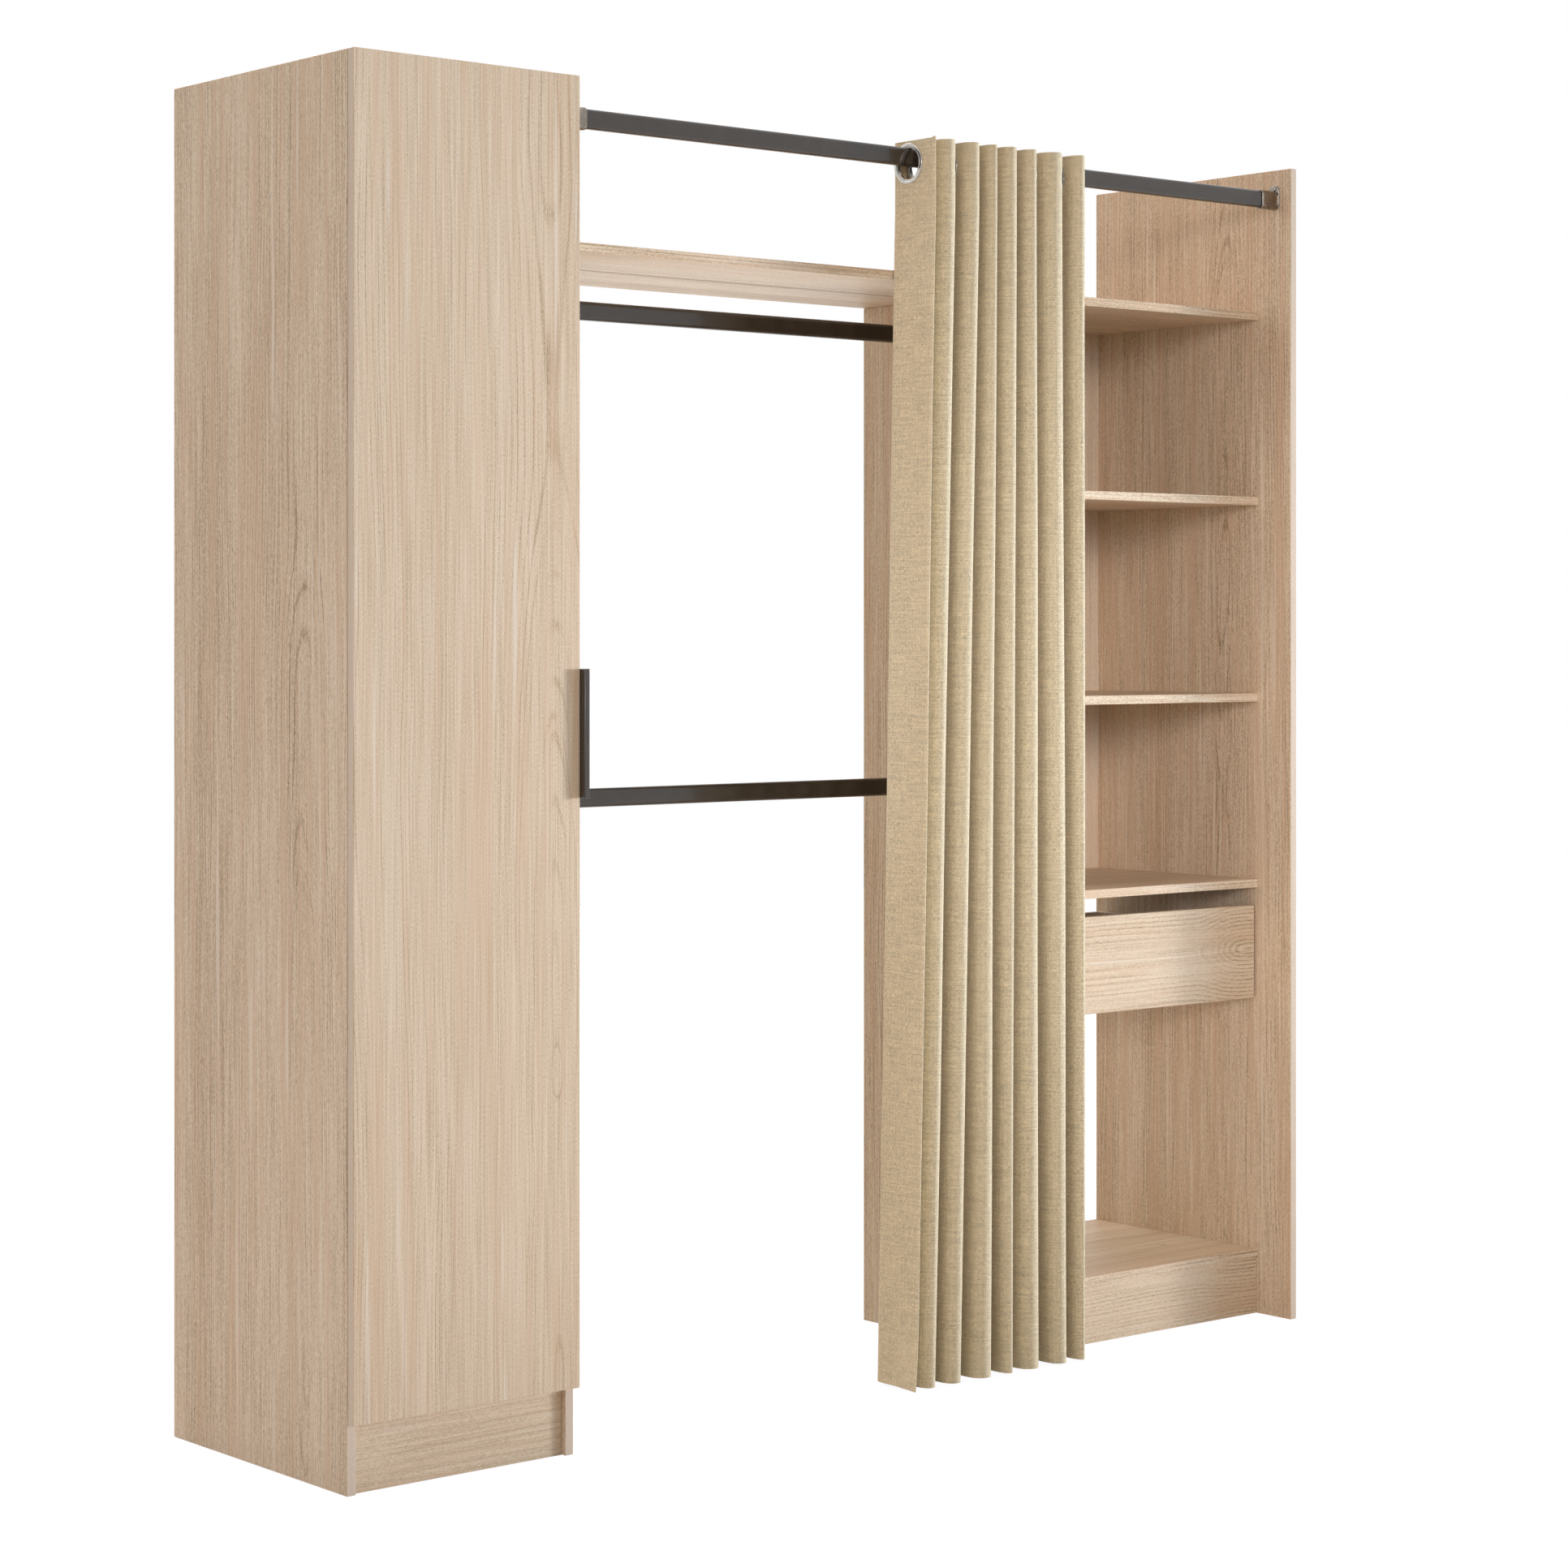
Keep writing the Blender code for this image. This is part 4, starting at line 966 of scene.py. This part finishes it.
def eyelet_place(front, rear):
    """Where an eyelet sits on a flat panel of the cloth."""
    along = (Vector((*rear, 0)) - Vector((*front, 0))).normalized()
    normal = along.cross(Vector((0, 0, 1)))
    place = Matrix((along, Vector((0, 0, 1)), normal)).transposed().to_4x4()
    place.translation = ((front[0] + rear[0]) / 2, rail_y, EYELET_Z)
    return place


punch = start("punch", bpy.ops.mesh.primitive_cylinder_add, vertices=36, radius=PUNCH_RADIUS,
              depth=PUNCH_DEPTH)
finish_off(punch)
punches = [placed(punch, "punch", eyelet_place(*panel)) for panel in panels]
join(punch, *punches)
cut(curtain, punch)
coat(curtain, curtain_linen, 50)
print("cloth:", len(curtain.data.polygons), "faces")

# %% [markdown]
# ## The leading edge
#
# The cloth's leading edge is turned over twice and sewn, so it is a few layers thick, shows as a
# pale narrow strip, and stands a little above the cloth at the top. Its linen is painted a little
# lighter than the curtain's: a painted highlight for the light that its rounded front catches. It is
# a ribbon with a rounded front that follows the same points as the cloth.

# %% Leading hem
HEM_DEPTH, HEM_HALF, HEM_ABOVE = 0.0045, 0.0016, 0.0015
HEM_POINT = 0.002  # metres of cloth from one point of the outline to the next
HEM_OUTLINE = [(-0.0006, -1), (-0.0014, -0.5), (-0.0016, 0), (-0.0014, 0.5), (-0.0006, 1),
               (HEM_DEPTH, 0.8), (HEM_DEPTH, -0.8)]  # metres back, and share of the half width
hem_heights = [*heights, HEM_Z + HEM_ABOVE]
places = []
for height in hem_heights:
    spot = cloth_point(0, min(height, HEM_Z))
    places.append([(spot.x + side * HEM_HALF, spot.y + back, height) for back, side in HEM_OUTLINE])
hem_run = [point * HEM_POINT for point in range(len(HEM_OUTLINE) + 1)]
hem = woven("curtain_leading_hem", places, hem_run, hem_heights)
coat(hem, hem_linen_painted_light, 50)
print("hem:", len(hem.data.polygons), "faces")

# %% [markdown]
# ## Eyelets
#
# Each eyelet is two pressed rings that grip the cloth from both sides, on a short barrel, with a
# groove between ring and barrel. Its cross section is four small rectangles, for the two rings, the
# barrel and the web in the groove. Their corners are rounded, and they are spun round the axis.
# Only their outlines are spun: their faces are deleted first, or they would stay behind as walls
# inside the metal.

# %% One eyelet
SECTIONS = (  # distance from the axis, width, height and level of each rectangle
    (0.03045, 0.0051, 0.0026, 0.0022),
    (0.03045, 0.0051, 0.0026, -0.0022),
    (0.0263, 0.0016, 0.0056, 0),
    (0.02755, 0.0019, 0.0036, 0),
)
SECTION_ROUND = 0.00075
eyelet = start("eyelet", bpy.ops.mesh.primitive_plane_add, size=1)
bpy.ops.mesh.delete(type="VERT")
for radius, width, height, level in SECTIONS:
    bpy.ops.mesh.primitive_plane_add(size=1, location=(radius, 0, level),
                                     rotation=(math.pi / 2, 0, 0))
    bpy.ops.transform.resize(value=(width, 1, height))
pick_all()
bpy.ops.mesh.bevel(offset=SECTION_ROUND, segments=3, affect="VERTICES")
pick_all()
bpy.ops.mesh.delete(type="ONLY_FACE")
pick_all()
bpy.ops.mesh.spin(steps=48, angle=2 * math.pi, center=(0, 0, 0), axis=(0, 0, 1))
finish_off(eyelet, chrome, angle=60)
print("eyelet:", len(eyelet.data.polygons), "faces,",
      [round(d * 1000, 1) for d in eyelet.dimensions], "mm")

# %% [markdown]
# One eyelet goes on every flat panel of the plan, turned to the panel and centred on the rail's
# depth. It hangs on the rail by the top of its bore.

# %% All the eyelets
rings = []
for number, panel in enumerate(panels, start=1):
    ring = placed(eyelet, f"curtain_ring_{number:02d}", eyelet_place(*panel))
    install(ring, "curtain", "chrome", f"curtain_eyelet_{number:02d}")
    rings.append(ring)
bpy.data.objects.remove(eyelet)
install(curtain, "curtain", "linen", "curtain")
install(hem, "curtain", "linen")
print("eyelets:", len(rings))

# %% [markdown]
# The folds stand in the drawer's way by a few centimetres, as they do in the room, where the drawer
# pushes them aside. Each piece on the cloth gets a mesh of its own, and the cloth's size before it
# was hung is printed.

# %% Own meshes for the cloth
for piece in (curtain, hem, *rings):
    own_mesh(piece)
HEM_Z - FOOT_Z
print("cut to", round(cloth_run[-1], 3), "by", round(HEM_Z - FOOT_Z, 3), "m")

# %% [markdown]
# ## Floor
#
# A white studio: the floor is white for the camera and for mirrors, without throwing more light on
# the closet. Most of that white is a glow, and the rest is a pale matt paper that takes the
# object's shadow. The glow is a little weaker near the closet, where the lamps light the paper.

# %% Floor
PAPER, SHADED = (0.97, 0.97, 0.97, 1), (0.24, 0.24, 0.24, 1)
NEAR_GLOW, FAR_GLOW = (0.905, 0.91, 0.93, 1), (1, 1, 1, 1)
NEAR, FAR = 1.3, 3.2
bpy.ops.object.select_all(action="DESELECT")
bpy.ops.mesh.primitive_plane_add(size=16)
floor = bpy.context.object
floor.name = "studio_floor"
paper = Finish("studio_paper", {"Base Color": PAPER, "Roughness": 1.0, "Specular IOR Level": 0.0})
rays = paper.tree.nodes.new("ShaderNodeLightPath")
seen = Value(paper, rays.outputs["Is Camera Ray"])
for ray in ("Is Glossy Ray", "Is Transmission Ray"):
    seen = paper.maths("MAXIMUM", seen, Value(paper, rays.outputs[ray]))
shadow = paper.add("ShaderNodeBsdfDiffuse", {}, {"Color": SHADED})
spot = paper.coordinates("Object")
across, along = paper.part(spot, "X"), paper.part(spot, "Y")
away = paper.smooth(paper.maths("SQRT", across * across + along * along), NEAR, FAR)
glow_colour = paper.blend(away, NEAR_GLOW, FAR_GLOW)
glow = paper.add("ShaderNodeEmission", {}, {"Color": glow_colour, "Strength": 1.0})
lit = paper.add("ShaderNodeAddShader", {}, {0: shadow, 1: glow})
body = Value(paper, paper.shader.outputs[0])
shown = paper.add("ShaderNodeMixShader", {}, {0: seen, 1: body, 2: lit})
paper.feed(paper.tree.nodes["Material Output"].inputs["Surface"], shown)
floor.data.materials.append(paper.material)
print("floor:", [round(d, 1) for d in floor.dimensions[:2]], "m")

# %% [markdown]
# ## World
#
# The world is white too for the camera and for mirrors. What it throws on the closet is a little
# warm light, which stands for the walls of the room.

# %% World
world = bpy.data.worlds.new("studio_room")
bpy.context.scene.world = world
world.use_nodes = True
sky = world.node_tree
rays = sky.nodes.new("ShaderNodeLightPath")
room = sky.nodes["Background"]
room.inputs["Color"].default_value = (1.0, 0.90, 0.52, 1)
room.inputs["Strength"].default_value = 0.20
white = sky.nodes.new("ShaderNodeBackground")
white.inputs["Color"].default_value = (1, 1, 1, 1)
seen = rays.outputs["Is Camera Ray"]
for ray in ("Is Glossy Ray", "Is Transmission Ray"):
    largest = sky.nodes.new("ShaderNodeMath")
    largest.operation = "MAXIMUM"
    sky.links.new(seen, largest.inputs[0])
    sky.links.new(rays.outputs[ray], largest.inputs[1])
    seen = largest.outputs[0]
mixed = sky.nodes.new("ShaderNodeMixShader")
for number, source in enumerate((seen, room.outputs[0], white.outputs[0])):
    sky.links.new(source, mixed.inputs[number])
sky.links.new(mixed.outputs[0], sky.nodes["World Output"].inputs["Surface"])
bpy.context.scene.view_settings.view_transform = "Standard"
print("world ready")

# %% [markdown]
# ## Lamps
#
# Cool light comes in low from the right through a window. It is wide, so the shadows that it draws
# are soft: the end panel's on the drawer front, and the handle's on the door. A lamp far to the
# left lights the cabinet's side, one behind and one above stand for the walls, two narrow lamps
# reach into the bays, and one stands for the light that the white floor throws up under the hanging
# shelf.


# %% Lamps
def direction_of(azimuth, height):
    """Towards so many degrees to the right of the front and above the floor."""
    turn, rise = math.radians(azimuth), math.radians(height)
    level = math.cos(rise)
    return Vector((math.sin(turn) * level, -math.cos(turn) * level, math.sin(rise)))


def hang_lamp(name, kind, away, reach, aim, light, power):
    """A lamp whose light is the red, green and blue that a white board facing it then shows."""
    data = bpy.data.lights.new(name, kind)
    data.color = light
    data.energy = power
    lamp = new_object(name, data)
    lamp.location = Vector(aim) + away * reach
    lamp.rotation_euler = (-away).to_track_quat("-Z", "Y").to_euler()
    return lamp


def soft_lamp(name, azimuth, height, reach, size, light, aim=(0, 0, 1)):
    """A square lamp of a size, so far from what it is aimed at."""
    power = (math.pi * reach) ** 2
    lamp = hang_lamp(name, "AREA", direction_of(azimuth, height), reach, aim, light, power)
    lamp.data.shape = "SQUARE"
    lamp.data.size = size


def window_light(name, azimuth, height, spread, light):
    """Light that comes from far away, so many degrees wide, and leaves no glare on the metal."""
    lamp = hang_lamp(name, "SUN", direction_of(azimuth, height), 4, (0, 0, 1), light, math.pi)
    lamp.data.angle = math.radians(spread)
    lamp.visible_glossy = False


def narrow_lamp(name, away, reach, aim, cone, radius, light):
    """A lamp whose light fades out towards the rim of its cone."""
    lamp = hang_lamp(name, "SPOT", away, reach, aim, light, 4 * (math.pi * reach) ** 2)
    lamp.data.spot_size = math.radians(cone)
    lamp.data.spot_blend = 1.0
    lamp.data.shadow_soft_size = radius


window_light("window", 60, 3, 20, (0.27, 0.39, 0.56))
window_light("window_far_side", 69, 2, 9, (0.88, 0.89, 0.90))
soft_lamp("left", -75, 10, 6.5, 4.0, (0.235, 0.233, 0.261))
soft_lamp("behind", 180, 50, 7.0, 4.0, (0.40, 0.40, 0.40), aim=(0, 0, 0))
soft_lamp("ceiling", 0, 90, 8.0, 4.0, (0.17, 0.06, 0.03), aim=(0, 0, 0))
BAYS = (0.7, -0.1, 1.1)
narrow_lamp("bays", direction_of(-30, 12), 6.0, BAYS, 22, 0.9, (0.54, 0.48, 0.45))
narrow_lamp("bays_front", direction_of(-14, 8), 6.0, BAYS, 24, 0.9, (0.125, 0.193, 0.253))
BOUNCE_FOOT, BOUNCE_AIM = Vector((-0.12, -0.12, 0.02)), Vector((-0.12, 0, 1.7))
upwards = BOUNCE_AIM - BOUNCE_FOOT
narrow_lamp("shelf_bounce", -upwards.normalized(), upwards.length, BOUNCE_AIM, 34, 0.05,
            (0.42, 0.50, 0.59))

# %% [markdown]
# ## Finish
#
# The pattern of the screw heads has done its work and goes.

# %% Finish
bpy.data.objects.remove(head)
